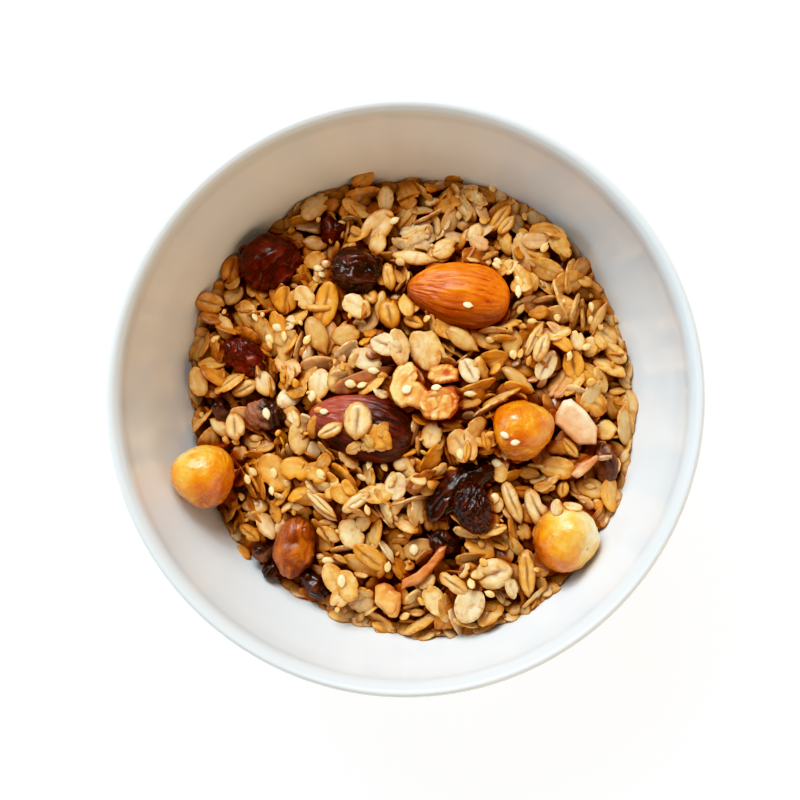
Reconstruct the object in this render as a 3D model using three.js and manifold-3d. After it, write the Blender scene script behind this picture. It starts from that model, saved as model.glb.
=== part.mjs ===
// A small white porcelain bowl filled with baked oat granola: a heap of flakes and seeds with
// almonds, hazelnuts, raisins, walnut pieces and nut chips lying in and on it.
// Millimetres, +Z up. The origin is the centre of the foot ring, on the plane the bowl stands on.
// +X is to the right and +Y to the top of the bowl as it is seen from above.
import * as THREE from "three";
import { mergeVertices } from "three/addons/utils/BufferGeometryUtils.js";
import Module from "manifold-3d";

const wasm = await Module();
wasm.setup();

// ---- bowl ----
const HEIGHT = 62; // foot to rim
const RIM_R = 68; // widest radius, at the rim
const CREST_R = 66.9; // radius of the top of the rounded rim
const FOOT_R = 31; // outer radius of the foot ring
const FOOT_IN_R = 27; // inner radius of the foot ring
const FOOT_H = 1.9; // depth of the recess under the bowl
const SEGMENTS = 48; // facets round the bowl and the heap
// [radius, height] along the inside, from the middle of the floor to just under the rim
const INNER = [
  [0, 5.2], [15, 5.5], [28, 6.9], [37.5, 10.6], [45.5, 17.2], [52, 26.2],
  [57.4, 36.6], [61.5, 47.5], [63.5, 54.4], [64.3, 58.2],
];
// [radius, height] along the outside, from the foot to just under the rim
const OUTER = [
  [31.6, 2.6], [33.4, 4.4], [41.5, 8.2], [49, 14.6], [55.4, 24], [60.6, 34.9],
  [64.8, 46.3], [67.3, 56.2], [68, 60.2],
];

// ---- how the contents were placed: by the picture seen from above ----
const CAMERA_H = 542; // height of the viewpoint over the table
const FOCAL = 2128; // pixels
const MID = [404, 396.5]; // where the bowl's axis meets the rim plane in the picture
const LEAN = 0.0308; // sideways lean of the view, per mm below the rim

// ---- heap ----
const HEAP_TOP = 41; // height of the heap at its middle
const HEAP_GAP = 0.42; // clearance between the heap and the bowl or a topping
const HEAP_RINGS = 9;
// radius of the heap's edge in the picture, every 22.5 degrees, clockwise from the right
const HEAP_EDGE = [
  223, 232, 240, 243, 232, 223, 221, 216, 216, 224, 219, 223, 218, 226, 224, 221,
];

// ---- toppings: picture x, y; lift of the middle over the heap; length, width, thickness;
//      turn in the picture (degrees clockwise), pitch and roll; seed for the wrinkles ----
const ALMONDS = [
  [459, 294, 2.4, 24.2, 15.0, 8.6, 8, 3, -4],
  [361, 427, 0.9, 25.0, 15.2, 8.6, 14, -4, 5],
];
const HAZELNUTS = [
  // picture x, y; middle's height; diameter; direction of the point (degrees clockwise) and its dip
  [203, 476, 42.0, 14.8, 75, 12],
  [522, 430, 43.2, 14.0, 100, 20],
  [564, 538, 40.0, 15.4, 205, 35],
];
const RAISINS = [
  // ... and after the seed, how far the middle bows sideways
  [270, 262, 1.9, 15.4, 13.8, 8.6, -18, 0, 6, 1],
  [356, 269, 1.5, 12.6, 11.6, 8.0, 12, 0, -6, 2],
  [244, 355, 0.4, 12.0, 8.2, 6.6, 36, 0, 0, 3],
  [265, 415, 0.5, 10.4, 7.6, 6.4, 8, 0, 0, 4],
  [222, 411, 0.0, 7.4, 5.2, 4.8, 68, 0, 0, 5],
  [295, 547, 2.1, 16.0, 10.0, 7.6, 102, 0, 0, 6],
  [472.5, 508, 3.0, 12.8, 9.4, 7.0, 72, 0, 0, 7],
  [459, 490.5, 0.2, 20.6, 8.8, 6.0, -39, 0, 0, 8, 0.4],
  [444, 543, -2.6, 9.4, 7.2, 5.6, 20, 0, 0, 9],
  [605, 463, 0.9, 10.8, 6.4, 6.0, 80, 0, 0, 10],
  [262, 552, 1.3, 5.6, 5.0, 4.8, 30, 0, 0, 11],
  [271, 569.5, 2.0, 5.4, 3.8, 3.8, -50, 0, 0, 12],
  [314.5, 584, 0.9, 9.2, 5.6, 5.0, 48, 0, 0, 13],
  [333, 231, -1.0, 8.0, 6.4, 5.4, 60, 0, 0, 14],
];
// flat pieces with their own outline, in picture pixels: lift, thickness, pitch, roll, outline
const SLABS = {
  walnut_1: [3.7, 4.4, 0, 0,
    [[408, 362], [413, 362], [417, 370], [413, 376], [413, 381], [420, 383], [429, 391],
      [441, 387], [454, 388], [460, 398], [458, 410], [450, 419], [438, 421], [425, 418],
      [421, 410], [413, 406], [401, 407], [392, 399], [389, 389], [393, 375], [399, 366]]],
  walnut_2: [0.9, 3.8, 0, 0,
    [[431, 368], [441, 364.5], [452, 365], [459, 370], [459, 380], [449, 383], [434, 385],
      [427, 379]]],
  walnut_3: [1.8, 4.6, 0, 0,
    [[376, 586], [384, 582], [392, 586], [401, 594], [400, 606], [397, 616], [389, 617],
      [383, 610], [375, 602]]],
  nut_chip_1: [2.5, 3.0, 0, 0,
    [[571, 398], [563, 401], [556, 413], [554.5, 424], [566, 434], [578, 445], [596, 445],
      [597, 428], [586, 412]]],
  nut_chip_2: [2.6, 2.2, 0, 0,
    [[597, 454.5], [599, 458], [589, 470], [577, 479], [571, 475], [579, 464]]],
  nut_chip_3: [2.4, 3.0, 0, 0,
    [[447, 545], [444, 557], [431, 573], [419, 584], [401, 589], [402, 580], [416, 573],
      [430, 560], [440, 547]]],
};

// ------------------------------------------------------------------ helpers
const rad = THREE.MathUtils.degToRad;
const clamp01 = (t) => Math.min(1, Math.max(0, t));
const smooth = (a, b, t) => { const u = clamp01((t - a) / (b - a)); return u * u * (3 - 2 * u); };
const splinePoints = (list, n) =>
  new THREE.SplineCurve(list.map(([r, z]) => new THREE.Vector2(r, z))).getPoints(n);

// inside radius of the bowl at a height
const innerFine = splinePoints(INNER, 400);
function innerRadius(z) {
  for (let i = 1; i < innerFine.length; i++) {
    const a = innerFine[i - 1], b = innerFine[i];
    if (b.y >= z && b.y > a.y) return a.x + ((b.x - a.x) * (z - a.y)) / (b.y - a.y);
  }
  return innerFine[innerFine.length - 1].x;
}
// height of the bowl's inside at a radius
function innerHeight(r) {
  for (let i = 1; i < innerFine.length; i++) {
    const a = innerFine[i - 1], b = innerFine[i];
    if (b.x >= r && b.x > a.x) return a.y + ((b.y - a.y) * (r - a.x)) / (b.x - a.x);
  }
  return innerFine[innerFine.length - 1].y;
}

// picture pixel at a height -> row frame
function place(px, py, z) {
  const s = (CAMERA_H - z) / FOCAL, h = HEIGHT - z;
  return [(px - MID[0]) * s - LEAN * h, -(py - MID[1]) * s + LEAN * h];
}

// heap: edge height and radius in a direction, and the surface height at a point
function edgeHeight(theta) {
  const n = HEAP_EDGE.length;
  let u = ((-theta / (2 * Math.PI)) * n) % n;
  if (u < 0) u += n;
  const i = Math.floor(u), f = u - i, p = (k) => HEAP_EDGE[(i + k + 2 * n) % n];
  const v0 = (p(1) - p(-1)) / 2, v1 = (p(2) - p(0)) / 2;
  const r = (2 * p(0) - 2 * p(1) + v0 + v1) * f ** 3 + (-3 * p(0) + 3 * p(1) - 2 * v0 - v1) * f * f + v0 * f + p(0);
  return 30 + 0.42 * (r - 222);
}
// a pit in the heap with a raisin at its bottom: picture x, y, radius below and above, floor
const PIT = [444, 542, 4.6, 5.8, 31.5];
const DENTS = [
  // picture x, y, depth, spread in mm
  [444, 543, 2.0, 7.0],
  [312, 222, 3.0, 5.0],
  [330, 232, 1.5, 5.0],
  [268, 395, 1.2, 4.0],
];
const RISES = [
  [232, 468, 3.4, 6.5],
  [575, 385, 2.2, 6.0],
  [548, 243, 2.0, 6.0],
  [330, 500, 1.2, 9.0],
];
function heapHeight(x, y) {
  const r = Math.hypot(x, y), theta = Math.atan2(y, x);
  const ze = edgeHeight(theta), R = innerRadius(ze) - HEAP_GAP;
  const t = Math.min(1, r / R);
  let z = HEAP_TOP + (ze - HEAP_TOP) * Math.pow(t, 2.3);
  const fade = 1 - 0.6 * smooth(0.8, 1, t);
  z += fade * (0.55 * Math.sin(0.33 * x + 1.3) * Math.cos(0.29 * y - 0.6)
    + 0.45 * Math.sin(0.47 * x - 0.4 * y + 2.1)
    + 0.35 * Math.sin(0.72 * y + 0.31 * x + 0.7));
  for (const [px, py, d, s] of DENTS) {
    const [cx, cy] = place(px, py, 36);
    z -= d * Math.exp(-((x - cx) ** 2 + (y - cy) ** 2) / (s * s));
  }
  for (const [px, py, d, s] of RISES) {
    const [cx, cy] = place(px, py, 38);
    z += d * Math.exp(-((x - cx) ** 2 + (y - cy) ** 2) / (s * s));
  }
  return z;
}

// a geometry whose shared points are merged
function welded(geometry) {
  const g = geometry.index ? geometry.toNonIndexed() : geometry;
  const bare = new THREE.BufferGeometry().setAttribute("position", g.getAttribute("position"));
  return mergeVertices(bare, 1e-4);
}
function solidOf(geometry, matrix) {
  const g = welded(geometry).clone();
  if (matrix) g.applyMatrix4(matrix);
  return new wasm.Manifold(new wasm.Mesh({
    numProp: 3,
    vertProperties: g.getAttribute("position").array,
    triVerts: new Uint32Array(g.index.array),
  }));
}
function geometryOf(solid) {
  const m = solid.getMesh(), n = m.numProp, v = new Float32Array(m.numVert * 3);
  for (let i = 0; i < m.numVert; i++) v.set(m.vertProperties.subarray(i * n, i * n + 3), i * 3);
  const g = new THREE.BufferGeometry()
    .setAttribute("position", new THREE.BufferAttribute(v, 3))
    .setIndex(new THREE.BufferAttribute(new Uint32Array(m.triVerts), 1));
  g.computeVertexNormals();
  return g;
}
// moves every point of a unit sphere by a function of its direction
function shaped(geometry, move) {
  const g = welded(geometry), p = g.getAttribute("position"), v = new THREE.Vector3();
  for (let i = 0; i < p.count; i++) {
    v.fromBufferAttribute(p, i).normalize();
    const [x, y, z] = move(v.x, v.y, v.z);
    p.setXYZ(i, x, y, z);
  }
  g.computeVertexNormals();
  return g;
}

// ------------------------------------------------------------------ shapes
// An almond: pointed at -X, blunt at +X, a little flat.
function almondShape(L, W, T, grow = 0) {
  const sphere = grow > 0 ? new THREE.SphereGeometry(1, 10, 7) : new THREE.SphereGeometry(1, 14, 10);
  return shaped(sphere.rotateZ(Math.PI / 2), (u, v, w) => {
    const k = Math.hypot(v, w);
    const body = Math.pow(k, 0.86) * (1 + 0.2 * u - 0.08 * u * u);
    const c = k > 1e-6 ? v / k : 0, s = k > 1e-6 ? w / k : 0;
    return [(L / 2 + grow) * u, (W / 2 + grow) * body * c, (T / 2 + grow) * body * s];
  });
}
// A skinned hazelnut: widest behind its middle, with a blunt point at +X and a flatter base.
function hazelnutShape(D, grow = 0) {
  return shaped(new THREE.IcosahedronGeometry(1, grow > 0 ? 1 : 2), (u, v, w) => {
    const R = D / 2 + grow;
    const f = 1 + 0.05 * (4 * u ** 3 - 3 * u) + 0.02 * Math.sin(3 * Math.atan2(w, v) + 0.5) * (1 - u * u);
    return [R * f * u, R * f * v, R * f * w];
  });
}
// A raisin: a shrunken oval with a few deep folds along it.
function raisinShape(L, W, T, seed, bow = 0, grow = 0) {
  return shaped(new THREE.IcosahedronGeometry(1, L > 16 || (L > 10.5 && grow === 0) ? 2 : 1), (u, v, w) => {
    const a = Math.atan2(w, v), q = 1 - u * u;
    const f = 0.95 + 0.05 * Math.sin(5 * a + seed * 1.7 + 1.2 * u) * q
      + 0.05 * Math.sin(2.6 * u + 2 * a + seed * 2.3) * q + 0.03 * Math.sin(7 * u + seed);
    return [(L / 2 + grow) * f * u, (W / 2 + grow) * f * v + bow * (1 - 2 * u * u), (T / 2 + grow) * f * w];
  });
}
// A slab of the given outline (mm, about its own middle): rounded edge, and a top that swells
// a little. The outline is shrunk toward its middle for the top and the underside.
function slabShape(outline, thick, grow = 0) {
  const n = outline.length;
  const area = outline.reduce((a, p, i) => a + p[0] * outline[(i + 1) % n][1] - outline[(i + 1) % n][0] * p[1], 0);
  const loop = area > 0 ? outline : [...outline].reverse();
  const grown = loop.map((p, i) => {
    const a = loop[(i + n - 1) % n], b = loop[(i + 1) % n];
    const n1 = new THREE.Vector2(p[1] - a[1], a[0] - p[0]).normalize();
    const n2 = new THREE.Vector2(b[1] - p[1], p[0] - b[0]).normalize();
    const m = n1.clone().add(n2).normalize();
    const k = grow / Math.max(0.6, m.dot(n1));
    return new THREE.Vector2(p[0] + m.x * k, p[1] + m.y * k);
  });
  const levels = [[-0.5, 0.74], [-0.28, 0.95], [0.05, 1], [0.3, 0.93], [0.5, 0.7]];
  const v = [], tri = [];
  for (const [h, k] of levels)
    for (const p of grown) v.push(p.x * k, p.y * k, h * (thick + 2 * grow));
  for (let j = 0; j + 1 < levels.length; j++)
    for (let i = 0; i < n; i++) {
      const a = j * n + i, b = j * n + ((i + 1) % n), c = b + n, d = a + n;
      tri.push(a, b, c, a, c, d);
    }
  const caps = THREE.ShapeUtils.triangulateShape(grown, []), last = (levels.length - 1) * n;
  for (const [a, b, c] of caps) tri.push(c, b, a, last + a, last + b, last + c);
  const g = new THREE.BufferGeometry()
    .setAttribute("position", new THREE.BufferAttribute(new Float32Array(v), 3))
    .setIndex(tri);
  g.computeVertexNormals();
  return g;
}

// ------------------------------------------------------------------ bowl
function bowlProfile() {
  const pts = [];
  const inner = splinePoints(INNER, 11);
  const outer = splinePoints(OUTER, 8);
  pts.push([0, FOOT_H + 0.1], [18, FOOT_H + 0.05], [FOOT_IN_R - 0.6, FOOT_H - 0.3], [FOOT_IN_R, 0], [FOOT_R, 0]);
  for (const p of outer) pts.push([p.x, p.y]);
  // rounded rim: short on the outside, wide on the inside
  const [ox, oz] = OUTER[OUTER.length - 1], [ix, iz] = INNER[INNER.length - 1];
  for (const a of [48, 90])
    pts.push([CREST_R + (ox - CREST_R) * Math.cos(rad(a)), oz + (HEIGHT - oz) * Math.sin(rad(a))]);
  for (const a of [62, 38, 17])
    pts.push([CREST_R - (CREST_R - ix) * Math.cos(rad(a)), iz + (HEIGHT - iz) * Math.sin(rad(a))]);
  for (const p of inner.reverse()) pts.push([Math.max(0, p.x), p.y]);
  return pts;
}
// LatheGeometry turns its faces out when the profile runs anticlockwise; it closes on the axis
const bowlGeometry = new THREE.LatheGeometry(
  bowlProfile().map(([r, z]) => new THREE.Vector2(r, z)), SEGMENTS).rotateX(Math.PI / 2);

// ------------------------------------------------------------------ heap
// A polar grid: the top follows heapHeight, the underside follows the bowl with a small gap.
function heapGeometry() {
  const v = [], tri = [];
  const lathe0 = Math.PI / 2; // the bowl's facets start on this side
  const edge = [];
  for (let i = 0; i < SEGMENTS; i++) {
    const th = lathe0 + (i / SEGMENTS) * 2 * Math.PI;
    const ze = edgeHeight(th) - 0.4, R = innerRadius(ze) - HEAP_GAP - 0.2;
    edge.push([th, ze, R]);
  }
  const top = (x, y) => heapHeight(x, y);
  const bottom = (r) => innerHeight(r + 0.35) + 0.42;
  v.push(0, 0, top(0, 0), 0, 0, bottom(0));
  const at = (side, k, i) => 2 + ((side * HEAP_RINGS + k) * SEGMENTS + (i % SEGMENTS));
  for (let side = 0; side < 2; side++)
    for (let k = 0; k < HEAP_RINGS; k++)
      for (let i = 0; i < SEGMENTS; i++) {
        const [th, , R] = edge[i];
        const r = (R * (k + 1)) / HEAP_RINGS, x = r * Math.cos(th), y = r * Math.sin(th);
        const zb = bottom(r);
        v.push(x, y, side === 0 ? Math.max(top(x, y), zb + 0.8) : zb);
      }
  for (let i = 0; i < SEGMENTS; i++) {
    tri.push(0, at(0, 0, i), at(0, 0, i + 1));
    tri.push(1, at(1, 0, i + 1), at(1, 0, i));
    for (let k = 0; k + 1 < HEAP_RINGS; k++) {
      const a = at(0, k, i), b = at(0, k + 1, i), c = at(0, k + 1, i + 1), d = at(0, k, i + 1);
      tri.push(a, b, c, a, c, d);
      const e = at(1, k, i), f = at(1, k + 1, i), g = at(1, k + 1, i + 1), h = at(1, k, i + 1);
      tri.push(e, g, f, e, h, g);
    }
    const a = at(0, HEAP_RINGS - 1, i), b = at(0, HEAP_RINGS - 1, i + 1);
    const c = at(1, HEAP_RINGS - 1, i), d = at(1, HEAP_RINGS - 1, i + 1);
    tri.push(a, c, d, a, d, b);
  }
  return new THREE.BufferGeometry()
    .setAttribute("position", new THREE.BufferAttribute(new Float32Array(v), 3))
    .setIndex(tri);
}

// ------------------------------------------------------------------ model
const root = new THREE.Group();
root.name = "granola_bowl";
const material = (color, roughness) => new THREE.MeshStandardMaterial({ color, roughness, metalness: 0 });
const PORCELAIN = material(0xf1f2f0, 0.16);
const OATS = material(0xcf9f5f, 0.6);
const ALMOND = material(0xa8501f, 0.42);
const HAZELNUT = material(0xe0952f, 0.3);
const RAISIN = material(0x3c140f, 0.3);
const GOLDEN = material(0xa85a18, 0.3);
const WALNUT = material(0xdf9a52, 0.4);
const CHIP = material(0xe6bd8a, 0.5);

function add(name, geometry, mat) {
  const m = new THREE.Mesh(geometry, mat);
  m.name = name;
  root.add(m);
  return m;
}
add("bowl", bowlGeometry, PORCELAIN);

// cutters: each topping again, coarser and grown by the gap, taken out of the heap
const cutters = [];
const UNDER = { raisin_8: "raisin_7" }; // a piece that another one lies on and presses in
const cutterOf = {};
function topping(name, make, position, euler, mat, coarse = 0.085) {
  const mesh = add(name, make(0), mat);
  mesh.geometry.computeBoundingSphere();
  mesh.rotation.copy(euler);
  mesh.position.set(...position);
  mesh.updateMatrix();
  const grow = HEAP_GAP + coarse * mesh.geometry.boundingSphere.radius;
  cutterOf[name] = solidOf(make(grow), mesh.matrix);
  cutters.push(cutterOf[name]);
  if (UNDER[name]) {
    const left = solidOf(mesh.geometry, mesh.matrix).subtract(cutterOf[UNDER[name]]);
    const largest = left.decompose().sort((a, b) => b.volume() - a.volume())[0];
    mesh.geometry = geometryOf(largest).applyMatrix4(mesh.matrix.clone().invert());
  }
}
const turn = (yaw, pitch, roll) => new THREE.Euler(rad(roll), rad(pitch), rad(-yaw), "ZYX");
// a piece whose middle stands a given height over the heap
function resting(px, py, lift) {
  let z = 38;
  for (let i = 0; i < 6; i++) {
    const [x, y] = place(px, py, z);
    z = heapHeight(x, y) + lift;
  }
  return [...place(px, py, z), z];
}
ALMONDS.forEach(([px, py, lift, L, W, T, yaw, pitch, roll], i) =>
  topping(`almond_${i + 1}`, (g) => almondShape(L, W, T, g), resting(px, py, lift), turn(yaw, pitch, roll), ALMOND));
HAZELNUTS.forEach(([px, py, z, D, yaw, dip], i) =>
  topping(`hazelnut_${i + 1}`, (g) => hazelnutShape(D, g), [...place(px, py, z), z], turn(yaw, dip, 0), HAZELNUT));
RAISINS.forEach(([px, py, lift, L, W, T, yaw, pitch, roll, seed, bow], i) =>
  topping(`raisin_${i + 1}`, (g) => raisinShape(L, W, T, seed, bow, g), resting(px, py, lift),
    turn(yaw, pitch, roll), i === 5 ? GOLDEN : RAISIN));
for (const [name, [lift, thick, pitch, roll, outline]] of Object.entries(SLABS)) {
  const mx = outline.reduce((a, p) => a + p[0], 0) / outline.length;
  const my = outline.reduce((a, p) => a + p[1], 0) / outline.length;
  const at = resting(mx, my, lift);
  const s = (CAMERA_H - at[2]) / FOCAL;
  const local = outline.map(([px, py]) => [(px - mx) * s, -(py - my) * s]);
  topping(name, (g) => slabShape(local, thick, g), at, turn(0, pitch, roll),
    name.startsWith("walnut") ? WALNUT : CHIP, 0);
}

{
  const [px, py, below, above, floor] = PIT, depth = 14;
  const pit = new THREE.CylinderGeometry(above, below, depth, 9).rotateX(Math.PI / 2);
  pit.translate(...place(px, py, floor), floor + depth / 2);
  cutters.push(solidOf(pit));
}
let heap = solidOf(heapGeometry());
heap = heap.subtract(wasm.Manifold.union(cutters));
// crumbs cut loose by the toppings are dropped, and only the heap itself is kept
heap = heap.simplify(0.09).decompose().sort((a, b) => b.volume() - a.volume())[0];
add("granola", geometryOf(heap), OATS);

export default root;
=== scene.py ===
import math
import time

import bpy
import numpy as np
from mathutils import Matrix, Vector


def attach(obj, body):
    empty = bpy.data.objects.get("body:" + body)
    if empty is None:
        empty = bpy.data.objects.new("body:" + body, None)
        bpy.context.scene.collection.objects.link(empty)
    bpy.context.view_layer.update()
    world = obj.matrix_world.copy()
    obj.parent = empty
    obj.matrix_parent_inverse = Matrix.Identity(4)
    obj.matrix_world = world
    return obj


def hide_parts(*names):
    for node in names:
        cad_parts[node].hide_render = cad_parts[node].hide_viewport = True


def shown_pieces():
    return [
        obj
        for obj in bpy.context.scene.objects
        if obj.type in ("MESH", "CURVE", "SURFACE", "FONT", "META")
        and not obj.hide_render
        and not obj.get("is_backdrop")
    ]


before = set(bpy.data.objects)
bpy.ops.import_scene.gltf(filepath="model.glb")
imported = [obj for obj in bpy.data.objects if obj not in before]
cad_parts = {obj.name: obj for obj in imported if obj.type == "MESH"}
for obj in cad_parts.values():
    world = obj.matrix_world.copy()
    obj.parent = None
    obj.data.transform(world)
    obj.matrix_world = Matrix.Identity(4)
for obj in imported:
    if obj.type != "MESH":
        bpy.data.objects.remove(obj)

T0 = time.time()
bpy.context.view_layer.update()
MM = 0.001

# =====================================================================================
# camera: nearly straight down, 480 mm over the rim, leaning a little from the lower right
# =====================================================================================
H_CAM, F_PX, HEIGHT, LEAN = 542.0, 2128.0, 62.0, 0.0308
MID = (404.0, 396.5)
cam_data = bpy.data.cameras.new("camera")
cam = bpy.data.objects.new("camera", cam_data)
bpy.context.scene.collection.objects.link(cam)
bpy.context.scene.camera = cam
cam_data.sensor_width = 36.0
cam_data.lens = F_PX / 800.0 * 36.0
cam_data.clip_start, cam_data.clip_end = 0.02, 20.0
cam_at = Vector((LEAN * 480.0, -LEAN * 480.0, H_CAM)) * MM
aim = Vector((-4.0 * 0.2256, -3.5 * 0.2256, HEIGHT)) * MM
cam.location = cam_at
back = (cam_at - aim).normalized()
right = Vector((0, 1, 0)).cross(back).normalized()
up = back.cross(right)
cam.rotation_mode = "QUATERNION"
cam.rotation_quaternion = Matrix((right, up, back)).transposed().to_quaternion()


def place(px, py, z):
    """A pixel of the picture at a height in mm -> x, y in mm."""
    s, h = (H_CAM - z) / F_PX, HEIGHT - z
    return (px - MID[0]) * s - LEAN * h, -(py - MID[1]) * s + LEAN * h


# =====================================================================================
# shapes shared with the solids (mm)
# =====================================================================================
INNER = [(0, 5.2), (15, 5.5), (28, 6.9), (37.5, 10.6), (45.5, 17.2), (52, 26.2),
         (57.4, 36.6), (61.5, 47.5), (63.5, 54.4), (64.3, 58.2)]
OUTER = [(31.6, 2.6), (33.4, 4.4), (41.5, 8.2), (49, 14.6), (55.4, 24), (60.6, 34.9),
         (64.8, 46.3), (67.3, 56.2), (68, 60.2)]
CREST_R = 66.9
FOOT_R, FOOT_IN_R, FOOT_H = 31.0, 27.0, 1.9
HEAP_TOP, HEAP_GAP = 41.0, 0.42
HEAP_EDGE = [223, 230, 236, 241, 232, 223, 221, 216, 216, 224, 219, 223, 218, 226, 224, 221]


def spline(points, n):
    p = np.array([points[0]] + list(points) + [points[-1]], float)
    out = []
    for i in range(n + 1):
        t = i / n * (len(points) - 1)
        k = min(int(t), len(points) - 2)
        w = t - k
        p0, p1, p2, p3 = p[k], p[k + 1], p[k + 2], p[k + 3]
        v0, v1 = (p2 - p0) * 0.5, (p3 - p1) * 0.5
        out.append((2 * p1 - 2 * p2 + v0 + v1) * w**3 + (-3 * p1 + 3 * p2 - 2 * v0 - v1) * w * w + v0 * w + p1)
    return np.array(out)


INNER_FINE = spline(INNER, 400)


def inner_radius(z):
    return np.interp(z, INNER_FINE[:, 1], INNER_FINE[:, 0])


def inner_height(r):
    return np.interp(r, INNER_FINE[:, 0], INNER_FINE[:, 1])


def edge_height(theta):
    n = len(HEAP_EDGE)
    e = np.array(HEAP_EDGE, float)
    u = (-np.asarray(theta) / (2 * np.pi) * n) % n
    i = np.floor(u).astype(int)
    f = u - i
    p0, p1, pm, p2 = e[i % n], e[(i + 1) % n], e[(i - 1) % n], e[(i + 2) % n]
    v0, v1 = (p1 - pm) / 2, (p2 - p0) / 2
    r = (2 * p0 - 2 * p1 + v0 + v1) * f**3 + (-3 * p0 + 3 * p1 - 2 * v0 - v1) * f * f + v0 * f + p0
    return 30 + 0.42 * (r - 222)


DENTS = [(444, 543, 2.0, 7.0), (312, 222, 3.0, 5.0), (330, 232, 1.5, 5.0), (268, 395, 1.2, 4.0)]
RISES = [(232, 468, 3.4, 6.5), (575, 385, 2.2, 6.0), (548, 243, 2.0, 6.0), (330, 500, 1.2, 9.0)]


def smoothstep(a, b, t):
    u = np.clip((t - a) / (b - a), 0, 1)
    return u * u * (3 - 2 * u)


def heap_height(x, y):
    x, y = np.asarray(x, float), np.asarray(y, float)
    r, th = np.hypot(x, y), np.arctan2(y, x)
    ze = edge_height(th)
    t = np.minimum(1, r / (inner_radius(ze) - HEAP_GAP))
    z = HEAP_TOP + (ze - HEAP_TOP) * t**2.3
    fade = 1 - 0.6 * smoothstep(0.8, 1, t)
    z = z + fade * (0.55 * np.sin(0.33 * x + 1.3) * np.cos(0.29 * y - 0.6)
                    + 0.45 * np.sin(0.47 * x - 0.4 * y + 2.1)
                    + 0.35 * np.sin(0.72 * y + 0.31 * x + 0.7))
    for px, py, d, s in DENTS:
        cx, cy = place(px, py, 36)
        z = z - d * np.exp(-((x - cx) ** 2 + (y - cy) ** 2) / (s * s))
    for px, py, d, s in RISES:
        cx, cy = place(px, py, 38)
        z = z + d * np.exp(-((x - cx) ** 2 + (y - cy) ** 2) / (s * s))
    return z


def resting(px, py, lift):
    z = 38.0
    for _ in range(6):
        x, y = place(px, py, z)
        z = float(heap_height(x, y)) + lift
    x, y = place(px, py, z)
    return np.array([x, y, z])


def rot(yaw, pitch, roll):
    """yaw is clockwise in the picture; the same turns as the solids have."""
    a, b, c = math.radians(-yaw), math.radians(pitch), math.radians(roll)
    rz = np.array([[math.cos(a), -math.sin(a), 0], [math.sin(a), math.cos(a), 0], [0, 0, 1]])
    ry = np.array([[math.cos(b), 0, math.sin(b)], [0, 1, 0], [-math.sin(b), 0, math.cos(b)]])
    rx = np.array([[1, 0, 0], [0, math.cos(c), -math.sin(c)], [0, math.sin(c), math.cos(c)]])
    return rz @ ry @ rx


# =====================================================================================
# noise for the geometry
# =====================================================================================
_perm = np.random.default_rng(11).permutation(256)
_perm = np.concatenate([_perm, _perm, _perm])
_grad = np.random.default_rng(12).normal(size=(256, 3))
_grad /= np.linalg.norm(_grad, axis=1)[:, None]


def perlin(p):
    """Smooth noise, about -1 to 1, at points of shape (N, 3)."""
    p = np.asarray(p, float)
    i = np.floor(p).astype(int)
    f = p - i
    i &= 255
    w = f * f * f * (f * (f * 6 - 15) + 10)
    out = 0.0
    for dx in (0, 1):
        wx = w[:, 0] if dx else 1 - w[:, 0]
        for dy in (0, 1):
            wy = w[:, 1] if dy else 1 - w[:, 1]
            for dz in (0, 1):
                wz = w[:, 2] if dz else 1 - w[:, 2]
                h = _perm[_perm[_perm[(i[:, 0] + dx) & 255] + ((i[:, 1] + dy) & 255)] + ((i[:, 2] + dz) & 255)]
                g = _grad[h]
                out = out + wx * wy * wz * (g[:, 0] * (f[:, 0] - dx) + g[:, 1] * (f[:, 1] - dy) + g[:, 2] * (f[:, 2] - dz))
    return out * 1.6


def fbm(p, octaves=3, gain=0.5):
    p = np.asarray(p, float)
    total, amp, norm = 0.0, 1.0, 0.0
    for k in range(octaves):
        total = total + amp * perlin(p * 2.03**k + 17.3 * k)
        norm += amp
        amp *= gain
    return total / norm


def ridge(p, octaves=2, gain=0.5):
    """Rounded swells with sharp valleys between them, 0 to about 1."""
    p = np.asarray(p, float)
    total, amp, norm = 0.0, 1.0, 0.0
    for k in range(octaves):
        total = total + amp * np.clip(np.abs(perlin(p * 2.1**k + 9.1 * k)) * 1.9, 0, 1) ** 0.75
        norm += amp
        amp *= gain
    return total / norm


# =====================================================================================
# node materials
# =====================================================================================
def srgb(h):
    c = [int(h[i:i + 2], 16) / 255 for i in (1, 3, 5)]
    return tuple(x / 12.92 if x <= 0.04045 else ((x + 0.055) / 1.055) ** 2.4 for x in c) + (1.0,)


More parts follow.
